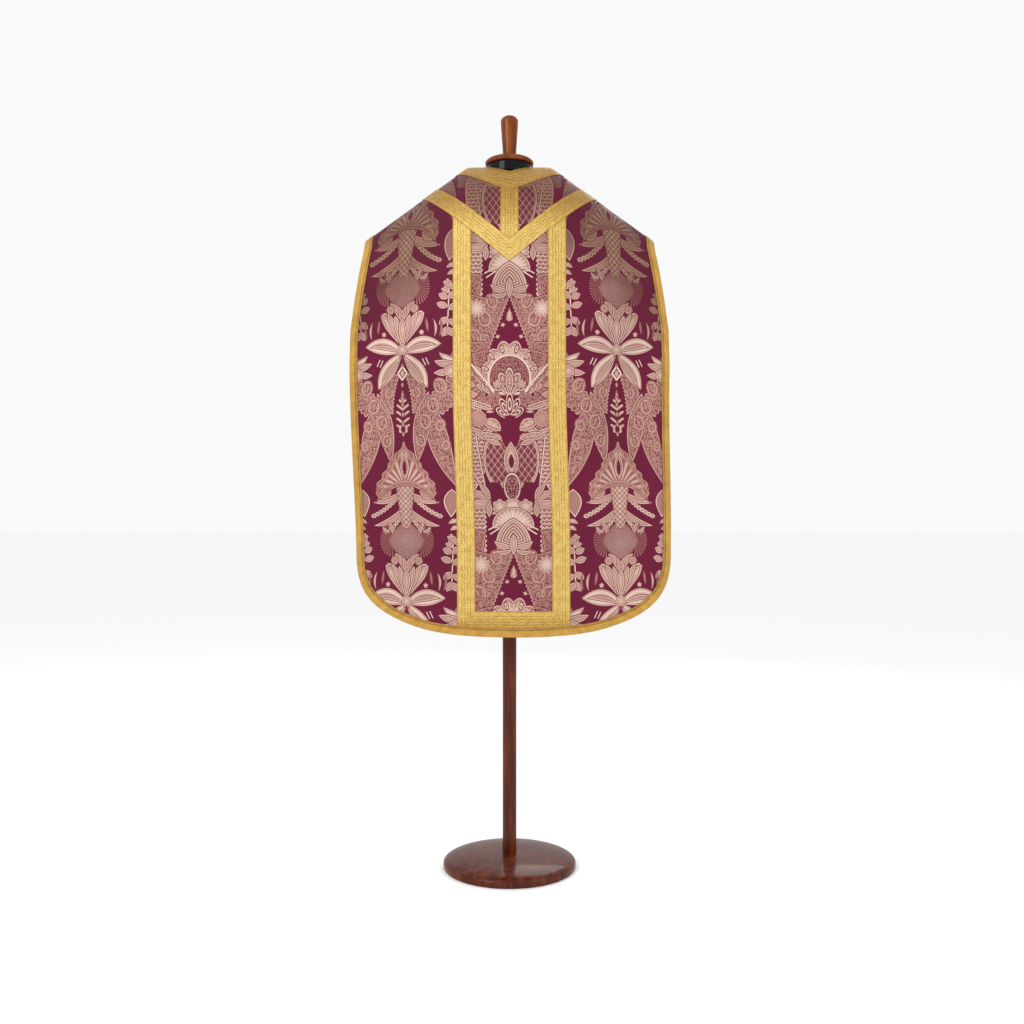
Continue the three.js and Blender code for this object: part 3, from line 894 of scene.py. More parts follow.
neck_profile = [(0, neck_low), (NECK_RADIUS, neck_low), (NECK_RADIUS, NECK_TOP), (0, NECK_TOP)]
neck = turned("form_neck", rounded(neck_profile, 3 * MM))
# %% [markdown]
# ## Drawing a woven pattern with nodes
# A brocade's figure is floated over a satin ground, and here it is drawn by sums: each leaf, ring
# or petal is a depth in millimetres, which is positive inside its outline. A small class lets a
# node's output be used like a number, so that a formula stays one line. Everything is drawn on the
# grain attribute, the thread counts of the flat cloth, so the pattern follows every fold.

# %% Sums made of nodes
class Wire:
    """A node's output that adds and multiplies like a number, by way of Math nodes."""

    def __init__(self, tree, socket):
        self.tree, self.socket = tree, socket

    def math(self, operation, *values, clamp=False):
        node = self.tree.nodes.new("ShaderNodeMath")
        node.operation = operation
        node.use_clamp = clamp
        for socket, value in zip(node.inputs, (self, *values)):
            plug(self.tree, socket, value)
        return Wire(self.tree, node.outputs[0])

    def __add__(self, other):
        return self.math("ADD", other)

    def __sub__(self, other):
        return self.math("SUBTRACT", other)

    def __mul__(self, other):
        return self.math("MULTIPLY", other)

    def __neg__(self):
        return self.math("MULTIPLY", -1)

    def times_plus(self, factor, more, clamp=False):
        return self.math("MULTIPLY_ADD", factor, more, clamp=clamp)

    def parts(self):
        node = self.tree.nodes.new("ShaderNodeSeparateXYZ")
        self.tree.links.new(self.socket, node.inputs[0])
        return [Wire(self.tree, output) for output in node.outputs]


def plug(tree, socket, value):
    if isinstance(value, Wire):
        tree.links.new(value.socket, socket)
    else:
        socket.default_value = value


def mixed(tree, share, first, second):
    """Part of the way from the first number to the second."""
    node = tree.nodes.new("ShaderNodeMix")
    plug(tree, node.inputs[0], share)
    plug(tree, node.inputs[2], first)
    plug(tree, node.inputs[3], second)
    return Wire(tree, node.outputs[0])


def pair(tree, x, y, z=0.0):
    node = tree.nodes.new("ShaderNodeCombineXYZ")
    for socket, value in zip(node.inputs, (x, y, z)):
        plug(tree, socket, value)
    return Wire(tree, node.outputs[0])


def ramp(tree, position, stops):
    """A colour ramp over (position, colour) stops. Returns its colour and its alpha."""
    node = tree.nodes.new("ShaderNodeValToRGB")
    plug(tree, node.inputs[0], position)
    bar = node.color_ramp.elements
    while len(bar) < len(stops):
        bar.new(0.5)
    for element, (place, colour) in zip(bar, stops):
        element.position = place
        element.color = colour if len(colour) == 4 else (*colour, 1)
    return Wire(tree, node.outputs[0]), Wire(tree, node.outputs[1])


def distance(x, y):
    """How far the point (x, y) is from zero."""
    node = x.tree.nodes.new("ShaderNodeVectorMath")
    node.operation = "LENGTH"
    plug(x.tree, node.inputs[0], pair(x.tree, x, y))
    return Wire(x.tree, node.outputs["Value"])


def attribute(tree, name):
    node = tree.nodes.new("ShaderNodeAttribute")
    node.attribute_name = name
    return Wire(tree, node.outputs["Vector"])


def noise(tree, vector, scale, detail=2.0):
    node = tree.nodes.new("ShaderNodeTexNoise")
    plug(tree, node.inputs["Vector"], vector)
    node.inputs["Scale"].default_value = scale
    node.inputs["Detail"].default_value = detail
    return Wire(tree, node.outputs["Fac"])


# %% [markdown]
# ## How a motif is shaded
# A figured silk has few tones: the ground, a dark outline, the middle tone of the pattern weft and
# its bright floats. A style says which tone lies at each depth inside a motif, so one list of stops
# gives a light outline, a dark line inside it and a textured middle. At its first stop a motif
# doesn't cover what was drawn before it, and from the second on it does.

# %% Styles: (depth in mm, tone, share of texture if any)
OUTLINE = [(-1.9, 0.16), (-1.5, 0.16), (-0.3, 0.2)]
ARCH_FIRST, ARCH_PITCH, ARCHES = 5.2, 6, 6
STYLES = {
    "petal": [
        *OUTLINE, (0.2, 0.8), (1.7, 0.9), (2.5, 0.42), (3.4, 0.6, 0.25), (8, 0.76, 0.3),
        (16, 0.84, 0.2),
    ],
    "bright": [
        *OUTLINE, (0.2, 0.72), (1.5, 0.84), (2.2, 0.5, 0.1), (4.5, 0.88, 0.5), (9, 0.84, 0.7),
        (13, 0.6, 0.9), (20, 0.66, 0.9),
    ],
    "leaf": [
        *OUTLINE, (0.1, 0.84), (1.3, 0.9), (2.1, 0.42), (3.2, 0.6, 0.2), (8, 0.72, 0.3),
    ],
    "small": [(-0.9, 0.1), (-0.3, 0.34), (0.4, 0.68), (2.5, 0.78)],
    "faint": [(-0.9, 0.1), (-0.3, 0.2), (0.4, 0.44), (2.5, 0.5)],
    "ring": [
        (-1.0, 0.5, 0.2), (-0.2, 0.5, 0.2), (0.6, 0.56, 0.2), (1.8, 0.5, 0.2), (2.8, 0.72, 0.1),
        (4.6, 0.74, 0.1), (5.8, 0.48, 0.2), (8, 0.62, 0.4), (17, 0.64, 0.4),
    ],
    "loop": [
        (-1.4, 0.5), (-0.9, 0.5), (-0.2, 0.84), (0.7, 0.84), (1.4, 0.05), (2.9, 0.05), (3.6, 0.9),
        (5.0, 0.84), (5.8, 0.3),
    ],
    "arm": [
        *OUTLINE, (0.1, 0.78), (1.5, 0.76), (2.3, 0.42), (3.4, 0.56, 0.35), (12, 0.6, 0.45),
        (20, 0.62, 0.45),
    ],
    "field": [*OUTLINE, (0.3, 0.6), (1.6, 0.62), (3, 0.52, 0.35), (20, 0.56, 0.42)],
    "texture": [*OUTLINE, (0.2, 0.9), (2.0, 0.9), (2.8, 0.32), (3.8, 0.5, 1), (20, 0.5, 1)],
    "mesh": [
        (-1.2, 0.3), (-0.4, 0.42), (0.6, 0.5), (1.6, 0.36, 0.6), (4, 0.4, 0.9), (40, 0.5, 0.9),
    ],
    "weave": [(-1.2, 0.2), (-0.3, 0.36, 0.3), (1.5, 0.46, 0.8), (30, 0.5, 1)],
    "lattice": [
        *OUTLINE, (0.2, 0.84), (1.6, 0.84), (2.2, 0.3), (3.2, 0.74), (4.4, 0.74), (5.2, 0.36, 1),
        (20, 0.36, 1),
    ],
    "line": [(-0.9, 0.3), (-0.3, 0.4), (0.2, 0.95), (3, 0.95)],
    "bare": [(-0.6, 0), (0.4, 0)],
    "disc": [
        (-1.4, 0.3), (-0.8, 0.4), (0.2, 0.9), (3.2, 0.94), (4.2, 0.4), (5.4, 0.44, 0.3),
        (7, 0.48, 0.45), (29, 0.5, 0.45),
    ],
    "dome": [
        *OUTLINE, (0.2, 0.6), (1.6, 0.66), (2.6, 0.46, 0.3), (7.0, 0.5, 0.5), (7.8, 0.3),
        (8.6, 0.68), (10.4, 0.68), (11.2, 0.36), (13, 0.56, 1), (29, 0.6, 1),
    ],
    "nested": [*OUTLINE, (0.2, 0.7), (3.5, 0.86)],
}
for k in range(ARCHES):
    for depth, tone in ((0, 0.3), (2.2, 0.92), (4.4, 0.5)):
        STYLES["nested"].append((ARCH_FIRST + depth + ARCH_PITCH * k, tone))
STYLE_LOW, STYLE_SPAN = -2.0, 42.0

# %% [markdown]
# ## Stamps
# A block printer cuts each motif once and sets it down many times. Here a node group is the block:
# one for each shape and style, with its place, turn and size as inputs. The tone drawn so far goes
# into a stamp and comes out of it with the motif laid over. The tone travels through each stamp's
# vector as its third number, so the renderer works the stamps out one after another and never has
# to hold them all at once.

# %% Stamp helpers
def block(name, inputs, outputs=("Tone",)):
    """A new node group. An input whose label starts with Vector is a vector."""
    tree = bpy.data.node_groups.new(name, "ShaderNodeTree")
    for label in inputs:
        kind = "NodeSocketVector" if label.startswith("Vector") else "NodeSocketFloat"
        tree.interface.new_socket(label, in_out="INPUT", socket_type=kind)
    for label in outputs:
        tree.interface.new_socket(label, in_out="OUTPUT", socket_type="NodeSocketFloat")
    entry, exit_node = tree.nodes.new("NodeGroupInput"), tree.nodes.new("NodeGroupOutput")
    return tree, [Wire(tree, socket) for socket in entry.outputs[: len(inputs)]], exit_node


def stamp(tree, inner, *values):
    node = tree.nodes.new("ShaderNodeGroup")
    node.node_tree = inner
    for socket, value in zip(node.inputs, values):
        plug(tree, socket, value)
    return Wire(tree, node.outputs[0])


BLOCKS = {}


def paint_block(style):
    """Inputs depth, tone so far and filling. Lays the style's tones over the tone so far."""
    if style not in BLOCKS:
        tree, (depth, tone, filling), exit_node = block(style, ("Depth", "Tone", "Filling"))
        stops = [
            ((d - STYLE_LOW) / STYLE_SPAN, (value, *(gain or [0]), 0, min(k, 1)))
            for k, (d, value, *gain) in enumerate(STYLES[style])
        ]
        place = depth.times_plus(1 / STYLE_SPAN, -STYLE_LOW / STYLE_SPAN)
        colour, cover = ramp(tree, place, stops)
        value, gain, _ = colour.parts()
        plug(tree, exit_node.inputs[0], mixed(tree, cover, tone, gain.times_plus(filling, value)))
        BLOCKS[style] = tree
    return BLOCKS[style]


FRAME = ("Across", "Up", "Tone", "Vector place", "Vector turn", "Vector size")


def in_frame(tree, across, up, tone, place, turn, size):
    node = tree.nodes.new("ShaderNodeMapping")
    node.vector_type = "TEXTURE"
    values = (pair(tree, across, up, tone), place, turn, size)
    for label, value in zip(("Vector", "Location", "Rotation", "Scale"), values):
        plug(tree, node.inputs[label], value)
    return Wire(tree, node.outputs[0]).parts()


# %% Shapes: from across and along in a motif's own frame to (depth, filling)
NARROWEST = 0.05


def leaf_shape(across, along, half, bend, skew, filling):
    swell = along * along.times_plus(-1, 1)
    away = swell.times_plus(bend, across).math("ABSOLUTE")
    width = swell * along.times_plus(2, -1).times_plus(skew, 1).math("MAXIMUM", NARROWEST)
    return width.times_plus(half, -away), filling


def veined_leaf_shape(across, along, half, bend, skew, slant):
    away = (along * along.times_plus(-1, 1)).times_plus(bend, across).math("ABSOLUTE")
    depth, slant = leaf_shape(across, along, half, bend, skew, slant)
    return depth, away.times_plus(1.9, along * slant).math("SINE") * 0.22


def oval_shape(across, up, small, filling):
    return small - distance(across, up) * small, filling


def fan_shape(across, up, radius, lobes, phase, deep, ribs, below, filling):
    angle = across.math("ARCTAN2", up)
    lobe = angle.times_plus(lobes, phase).math("COSINE").math("ABSOLUTE")
    depth = lobe.times_plus(deep, radius - distance(across, up)).math("MINIMUM", up - below)
    return depth, (angle * ribs).math("SINE").times_plus(0.3, filling)


def band_shape(across, along, length, half, scallop, pitch, bend, filling):
    left = length - along
    away = (along * left).times_plus(bend, across).math("ABSOLUTE")
    wave = (along * pitch).math("SINE").math("ABSOLUTE")
    depth = wave.times_plus(scallop, half - away).math("MINIMUM", along)
    return depth.math("MINIMUM", left), filling


SHAPES = {
    "leaf": leaf_shape, "veined leaf": veined_leaf_shape, "oval": oval_shape, "fan": fan_shape,
    "band": band_shape,
}


def shape_block(kind, style, count):
    """The block of one shape in one style, with count inputs of its own after its frame's."""
    key = f"{kind} {style}"
    if key not in BLOCKS:
        labels = [f"Measure {k + 1}" for k in range(count)]
        tree, wires, exit_node = block(key, (*FRAME, *labels))
        across, along, tone = in_frame(tree, *wires[: len(FRAME)])
        depth, filling = SHAPES[kind](across, along, *wires[len(FRAME) :])
        plug(tree, exit_node.inputs[0], stamp(tree, paint_block(style), depth, tone, filling))
        BLOCKS[key] = tree
    return BLOCKS[key]


# %% The loom: sets down the stamps in their order
VEIN_SLANT = -1.15  # radians along a leaf for each millimetre of it


def span(start, end):
    """How long the line between two points is, and its turn from upright in degrees."""
    dx, dz = end[0] - start[0], end[1] - start[1]
    return math.hypot(dx, dz), math.degrees(math.atan2(dx, dz))


class Loom:
    """Draws motifs on two mirror axes. A is the centre line's axis, and B is midway to the next."""

    UP, ACROSS, SLICE = 595.0, 254.0, 120

    def __init__(self, tree, x, z):
        self.tree, self.x, self.z = tree, x, z
        from_a = x.math("ABSOLUTE").math("PINGPONG", self.ACROSS)
        self.sides = {"A": from_a, "B": from_a.times_plus(-1, self.ACROSS)}
        self.heights = {}
        self.tone = 0.0
        self.count = 0

    def frame(self, axis, x, z, turn=0.0, size=(1, 1)):
        """A stamp's first inputs: the place on the cloth, the tone so far, the motif's frame."""
        key = round(z / self.SLICE)
        if key not in self.heights:
            middle = self.SLICE * key
            self.heights[key] = self.z.math("WRAP", middle + self.UP / 2, middle - self.UP / 2)
        turned = (0, 0, -math.radians(turn))
        return self.sides[axis], self.heights[key], self.tone, (x, z, 0), turned, (*size, 1)

    def set_down(self, inner, *values):
        self.tone = stamp(self.tree, inner, *values)
        self.count += 1

    def local(self, axis, x, z, turn=0.0):
        """A motif's own plane for a shape with no stamp: across and along, in millimetres."""
        across, along, self.tone = in_frame(self.tree, *self.frame(axis, x, z, turn))
        return across, along

    def paint(self, depth, style, texture=0.0):
        self.set_down(paint_block(style), depth, self.tone, texture)

    def draw(self, kind, style, place, *measures):
        self.set_down(shape_block(kind, style, len(measures)), *place, *measures)

    def leaf(self, axis, x, z, length, half, turn, style="leaf", bend=0.0, skew=0.0, texture=0.0):
        """A pointed leaf from its foot at (x, z). Bend curves it, skew moves its widest place."""
        place = self.frame(axis, x, z, turn, (1, length))
        kind = "leaf"
        if texture == "veins":
            kind, texture = "veined leaf", VEIN_SLANT * length
        self.draw(kind, style, place, 4 * half, -4 * bend, skew, texture)

    def oval(self, axis, x, z, wide, high, turn=0.0, style="petal", texture=0.0):
        """An ellipse by its half width and half height."""
        place = self.frame(axis, x, z, turn, (wide, high))
        self.draw("oval", style, place, min(wide, high), texture)

    def fan(
        self, axis, x, z, radius, style, lobes=0, deep=0.0, ribs=0, below=-500, size=(1, 1),
        notch=False, texture=0.0,
    ):
        """A round shell about (x, z), with lobes along its rim and ribs from its middle."""
        place = self.frame(axis, x, z, 0, size)
        phase = math.pi / 2 if notch else 0.0
        self.draw("fan", style, place, radius, lobes / 2, phase, deep, ribs, below, texture)

    def band(self, axis, start, end, half, style, scallop=0.0, pitch=12.0, texture=0.0, bend=0.0):
        """A long strip between two points, its edges scalloped every pitch millimetres."""
        length, turn = span(start, end)
        place = self.frame(axis, *start, turn)
        curve = -4 * bend / length**2
        self.draw("band", style, place, length, half, scallop, math.pi / pitch, curve, texture)

    def on(self, axis):
        """Leaf, oval, fan and band with their axis filled in."""

        def fill_in(draw):
            return lambda *place, **look: draw(axis, *place, **look)

        return [fill_in(draw) for draw in (self.leaf, self.oval, self.fan, self.band)]


# %% [markdown]
# ## The fillings
# The motifs are filled as lace and damask patterns are: with a fine speckle, a net, a diamond
# lattice with double lines, or fish scales. Each is a repeating sum over the cloth, made once and
# shared by the motifs that need it.

# %% Fillings
def fillings(loom):
    tree = loom.tree
    from_a, z = loom.sides["A"], loom.z
    grid = pair(tree, from_a, z)
    cells = tree.nodes.new("ShaderNodeTexVoronoi")
    plug(tree, cells.inputs["Vector"], grid)
    cells.inputs["Scale"].default_value = 0.4
    speckle = Wire(tree, cells.outputs["Distance"]).times_plus(-1.9, 0.72)

    def crossing(pitch, tall):
        """Two slanting waves that cross, each zero on its own lines."""
        across, up = from_a * (math.pi / pitch), z * (math.pi / tall)
        return [slant.math("SINE").math("ABSOLUTE") for slant in (across + up, across - up)]

    a, b = crossing(4.6, 4.8)
    net = a.math("MINIMUM", b).times_plus(-1.3, 0.55)
    a, b = crossing(15.5, 21.0)
    near = a.math("MINIMUM", b)
    double = (near - 0.16).math("ABSOLUTE")
    lattice = double.times_plus(-7, 1, clamp=True).times_plus(0.62, -0.12)
    knots = a.math("MAXIMUM", b).times_plus(-9, 2.4, clamp=True)
    lattice = knots.times_plus(0.4, lattice)
    # Fish scales: rows of arcs, every other row set over by half a scale.
    wide, tall = 11.0, 9.0
    row = (z * (1 / tall)).math("FLOOR")
    shift = (row * 0.5).math("FRACT") * wide
    across = (loom.sides["B"] + shift).math("WRAP", wide / 2, -wide / 2)
    up = z.math("WRAP", tall, 0.0)
    arc = (across * across).times_plus(0.16, up) * (math.pi / tall)
    scales = arc.math("SINE").math("ABSOLUTE").times_plus(0.75, -0.42)
    a, b = crossing(11.5, 12.5)
    basket = a.math("MINIMUM", b).times_plus(2.4, 0, clamp=True).times_plus(0.62, -0.3)
    return speckle, net, lattice, scales, basket


# %% [markdown]
# ## The pattern on the centre axis
# From the top of a repeat downwards: a fluted collar over a hood of nested arches, two scrolling
# arms that open over a bare triangle with a little tree, a scalloped arch with a palmette in it, a
# crown of loops over a bare bulb, lattice wings beside a bud and a seed pod, and shell columns. The
# furthest back is drawn first. All places are in millimetres from the axis and from the floor.

# %% Centre axis motifs
def scrolls(oval, leaf, places, turn, side, speckle):
    """Rings along an arm, each with a curl at its foot. Side says which way they lean."""
    for x, z, size in places:
        oval(x, z, size, size * 1.25, turn, "ring", texture=speckle)
        leaf(x + side, z - size * 0.7, size * 1.5, size * 0.22, turn, "field", bend=-3 * side)


def centre_pattern(loom, speckle, lattice, scales):
    leaf, oval, fan, band = loom.on("A")
    # Shell columns and the flowers under them.
    band((84, 1500), (84, 1362), 17, "texture", scallop=5, pitch=11, texture=scales)
    band((84, 1420), (98, 1330), 20, "field", texture=speckle)
    # Arms: from under the hood outwards, and on below the ribbons towards the side axis.
    band((64, 1366), (92, 1262), 30, "field", scallop=4, pitch=12, texture=speckle)
    band((11, 1394), (78, 1220), 17, "arm", scallop=4, pitch=9, texture=speckle)
    band((64, 1250), (176, 1112), 24, "arm", scallop=5, pitch=12, texture=speckle, bend=9)
    leaf(184, 1130, 215, 24, 196, "arm", bend=-8, skew=-0.3, texture=speckle)
    rings = ((40, 1356, 15), (58, 1316, 17), (80, 1274, 17), (118, 1222, 17), (158, 1162, 16))
    scrolls(oval, leaf, rings, 24, 1, speckle)
    for x, z, size in ((160, 1070, 13), (148, 1024, 11)):
        oval(x, z, size, size * 1.25, -16, "ring", texture=speckle)
    fan(76, 1340, 15, "petal", lobes=11, deep=7, ribs=11)
    # The field beside the arch, its laurel, and the scalloped arch itself.
    band((92, 1262), (92, 1010), 32, "field", scallop=4, pitch=14, texture=speckle)
    band((44, 1150), (66, 1240), 22, "field", texture=speckle)
    laurel = (
        (50, 1150, 62), (56, 1166, 50), (62, 1182, 38), (74, 1140, 88), (80, 1160, 70),
        (84, 1184, 50),
    )
    for x, z, turn in laurel:
        leaf(x, z, 30, 7.5, turn, texture="veins")
    fan(
        0, 1180, 57, "petal", lobes=12, deep=9, below=-32, notch=True, size=(1.0, 1.3),
        texture=speckle,
    )
    for x, z, turn in ((17, 1245, 12), (42, 1229, 40), (57, 1200, 70)):
        oval(x, z, 3.6, 7.5, turn, "leaf")
    leaf(0, 1238, 14, 3.6, 0, "small")
    fan(0, 1178, 50, "disc", below=-34, size=(1.0, 1.1), texture=speckle)
    for place in ((27, 1158, 9, 12, 40), (16, 1176, 9, 15, 24), (0, 1182, 9.5, 20, 0)):
        oval(*place, texture=speckle)
    leaf(0, 1140, 52, 9, 0, "petal", skew=0.3, texture=speckle)
    leaf(3, 1140, 40, 6, 44, "petal", skew=0.3, texture=speckle)
    fan(28, 1164, 6, "petal", lobes=5, deep=4)
    band((90, 1212), (26, 1138), 1.5, "line")
    band((92, 1202), (30, 1132), 0.7, "faint")
    # The crown of loops over the bare bulb.
    band((22, 1134), (98, 1098), 13, "field", scallop=3, pitch=9, texture=speckle)
    for z in (1110, 1099):
        band((44, z), (98, z + 18), 2.6, "texture", scallop=2.4, pitch=5, texture=speckle)
    leaf(-4, 1076, 76, 11, 68, "bare", bend=5)
    for turn, reach, high in ((52, 22, 16), (25, 29, 21), (0, 33, 26)):
        x, z = math.sin(math.radians(turn)), math.cos(math.radians(turn))
        oval(reach * x, 1084 + reach * z, 8.0, high, turn, "loop")
    for z, turn in ((1106, 84), (1100, 92)):
        leaf(36, z, 20, 2.4, turn, "small")
    # Lattice wings with scaled bands outside them.
    leaf(30, 1078, 176, 26, 160, "texture", bend=-14, skew=-0.1, texture=scales)
    leaf(84, 1086, 170, 15, 188, "texture", bend=-16, texture=scales)
    oval(33, 986, 31, 64, 4, "lattice", texture=lattice)
    leaf(20, 1056, 50, 13, 64, "petal", bend=-5, texture=speckle)
    fan(74, 1084, 17, "arm", lobes=12, deep=2.5, ribs=14)
    leaf(92, 1066, 74, 9, 246, bend=-7, texture="veins")
    leaf(70, 1052, 52, 9, 254, "petal", bend=-3, texture=speckle)
    leaf(56, 1036, 36, 6, 250)
    oval(0, 1052, 22, 40, 0, "bare")
    leaf(0, 946, 84, 17, 0, "petal", skew=-0.1, texture=speckle)
    leaf(0, 968, 34, 6, 0, "bare")
    # The seed pod, the bare spots and the leaves around them.
    oval(42, 918, 20, 19, 0, "bare")
    leaf(50, 888, 54, 8, 58, bend=-4, texture="veins")
    leaf(52, 896, 44, 7, 34, bend=-3, texture="veins")
    leaf(54, 884, 46, 9, 84, texture="veins")
    leaf(54, 890, 34, 6.5, 178, texture="veins")
    oval(0, 926, 19, 32, 0, "texture", texture=speckle)
    # The scalloped crown, the fluted collar and the hood of nested arches.
    fan(0, 866, 30, "petal", lobes=7, deep=6, below=-4, size=(1.35, 0.9))
    fan(30, 880, 13, "petal", lobes=6, deep=4)
    fan(0, 836, 42, "petal", ribs=26, below=-6, size=(1.14, 1.0))
    band((34, 838), (58, 826), 1.2, "line")
    band((32, 830), (54, 816), 1.2, "line")
    across, up = loom.local("A", -28, 790)
    hood = distance(across, up).times_plus(-1, 69)
    loom.paint(hood.math("MINIMUM", across.times_plus(-0.3, 21) + up), "nested")
    leaf(4, 788, 42, 7, 74, "petal", bend=6)
    leaf(4, 780, 38, 5, 96, bend=5)
    leaf(0, 768, 48, 8, 0, "petal", skew=0.2)
    # The little tree and the blossoms on the bare triangle.
    for z, length in ((1310, 11), (1317, 10), (1324, 8)):
        leaf(0, z, length, 3, 42, "small")
    leaf(0, 1308, 32, 4.2, 0, "small", skew=-0.3)
    for x, z in ((15, 1301), (27, 1274)):
        for turn in (20, 110):
            swing = math.radians(turn)
            leaf(x - 5.5 * math.sin(swing), z - 5.5 * math.cos(swing), 11, 3.4, turn, "small")


# %% [markdown]
# ## The pattern on the side axis
# The side axis carries a lily with a fan of petals over it, two scrolling columns beside a laurel
# sprig, a domed palmette on a scaled stem with hanging leaves and strings of beads, and a netted
# diamond with fringes. Small sprigs float between the two axes on the bare ground.

# %% Side axis motifs
def side_pattern(loom, speckle, net, basket):
    leaf, oval, fan, band = loom.on("B")
    # Columns under the lily, with rings, and the laurel sprig between them.
    band((26, 1196), (44, 1104), 16, "arm", scallop=4, pitch=9, texture=speckle, bend=-5)
    leaf(67, 1150, 172, 21, 191, "arm", bend=3, skew=-0.2, texture=speckle)
    band((84, 1130), (52, 1080), 17, "arm", scallop=4, pitch=10, texture=speckle)
    rings = ((36, 1150, 12), (78, 1118, 16), (58, 1080, 16), (45, 1036, 14))
    scrolls(oval, leaf, rings, -14, -1, speckle)
    across, along = loom.local("B", 0, 1107)
    rows = (along * (1 / 16)).math("FRACT")
    blade = (across.times_plus(-0.045, rows) - 0.22).math("ABSOLUTE")
    taper = along.times_plus(-0.55, 24).math("MINIMUM", 18)
    depth = blade.times_plus(-16, 3.4).math("MINIMUM", taper - across)
    depth = depth.math("MINIMUM", along.times_plus(-1, 30)).math("MINIMUM", along + 46)
    loom.paint(depth, "small")
    leaf(0, 1130, 26, 4.5, 0, "small")
    fan(0, 1064, 10, "small", lobes=6, deep=3)
    oval(0, 1064, 6, 9, 0, "bare")
    # Strings of beads and hanging leaves.
    for start, end in (((20, 904), (92, 856)), ((14, 858), (58, 818))):
        length, turn = span(start, end)
        across, along = loom.local("B", *start, turn)
        swell = along * along.times_plus(-1, length)
        across = swell.times_plus(-20 / length**2, across)
        step = along.math("WRAP", 5.0, -5.0)
        bead = distance(across, step).times_plus(-1, 5.2)
        bead = bead.math("MINIMUM", along).math("MINIMUM", along.times_plus(-1, length))
        loom.paint(bead, "leaf")
    leaf(6, 917, 84, 7, 109, bend=7, texture="veins")
    leaf(4, 882, 94, 7, 120, bend=11, texture="veins")
    # The netted diamond with its fringes, and the curls under it.
    across, up = loom.local("B", 40, 800)
    fringe = (across.math("ARCTAN2", up) * 30).math("SINE").times_plus(1.4, -0.2)
    tuft = distance(across * 0.86, up * 0.66).times_plus(-1, 26)
    tuft = tuft.math("MINIMUM", across + 4)
    loom.paint(fringe.math("MINIMUM", tuft), "faint")
    leaf(36, 812, 32, 5, 22, bend=-5)
    leaf(44, 822, 22, 4, 60, bend=5)
    across, up = loom.local("B", 0, 799)
    round_part = distance(across, up) * 0.5
    diamond = (across + up.math("ABSOLUTE")).times_plus(0.4, round_part).times_plus(-1, 42)
    loom.paint(diamond, "mesh", net)
    leaf(0, 716, 62, 9, 32, bend=-9)
    oval(32, 752, 10, 10, 0, "ring")
    leaf(0, 712, 50, 6, 12, bend=-3)
    # The scaled stem and the domed palmette over it.
    across, up = loom.local("B", 0, 889)
    stem = up.times_plus(0.13, 19) - across
    stem = stem.math("MINIMUM", up.math("ABSOLUTE").times_plus(-1, 60))
    loom.paint(stem, "weave", basket)
    oval(58, 918, 20, 22, 14, "ring")
    across, up = loom.local("B", 0, 930)
    drop = up.times_plus(-1 / 96, 1).math("MINIMUM", 1.0)
    half = drop.math("MAXIMUM", 0.0).math("POWER", 0.8) * 76
    wave = (up * 0.27).math("SINE") * 3.0
    rim = (half + wave - across) * 0.74
    floor = (across * across).times_plus(0.0062, up)
    angle = across.math("ARCTAN2", up + 6)
    ribs = (angle * 22).math("SINE") * 0.2
    loom.paint(rim.math("MINIMUM", floor), "dome", ribs)
    leaf(0, 944, 62, 11, 0, "petal", texture=speckle)
    leaf(0, 954, 38, 4.5, 0, "bare")
    # The lily.
    band((0, 1212), (12, 1196), 2, "line")
    band((0, 1180), (12, 1196), 2, "line")
    leaf(0, 1188, 16, 5, 0, "small")
    oval(44, 1324, 11, 17, 20, "petal", texture=speckle)
    for turn, length, half in ((33, 98, 10.5), (23, 92, 7.5), (12, 82, 7), (0, 72, 8)):
        foot, bend = 3 if turn else 0, -0.16 * turn
        leaf(foot, 1254, length, half, turn, "petal", bend, skew=0.85, texture="veins")
    leaf(0, 1246, 108, 18, 143, "bright", bend=-4, skew=0.2, texture="veins")
    leaf(-4, 1245, 104, 19, 81, "bright", bend=-8, skew=0.15, texture="veins")
    leaf(6, 1236, 84, 5, 144, texture="veins")
    leaf(8, 1247, 76, 5, 80, bend=-5, texture="veins")
    fan(0, 1252, 9, "petal", lobes=7, deep=5)
    band((52, 1228), (60, 1212), 0.9, "line")
    band((60, 1230), (68, 1214), 0.9, "line")
    # Small twigs beside the fan.
    leaf(66, 1290, 34, 3.2, -8, "faint")
    leaf(82, 1278, 42, 2.8, -4, "small", bend=5)
    leaf(94, 1278, 40, 2.6, 4, "faint", bend=4)
    fan(50, 1290, 4, "small", lobes=5, deep=2)


# %% Sprigs between the axes
def sprigs(loom):
    leaf, _, fan, band = loom.on("A")
    leaf(138, 1516, 66, 17, 177, "texture", skew=-0.3, texture="veins")
    for z, length in ((1440, 26), (1424, 22)):
        leaf(122, z, length, 5, 100, "bright", bend=-4)
    for x, z in ((142, 1402), (134, 1394), (146, 1386)):
        fan(x, z, 5, "leaf", lobes=5, deep=4)
    band((138, 1386), (142, 1280), 1.0, "line")
    leaves = (
        (1366, 62, 24), (1366, -50, 24), (1346, 70, 28), (1340, -60, 26), (1322, 128, 26),
        (1316, -118, 26), (1300, 150, 26), (1298, -150, 24),
    )
    for z, turn, length in leaves:
        leaf(140, z, length, 7.5, turn, texture="veins")
    leaf(120, 1222, 44, 6.5, 66, "bright", bend=5, texture="veins")
    leaf(122, 1214, 50, 8, 82, bend=4, texture="veins")
    leaf(124, 1202, 50, 8, 100, bend=4, texture="veins")
    fan(134, 1196, 10, "petal", lobes=6, deep=5)
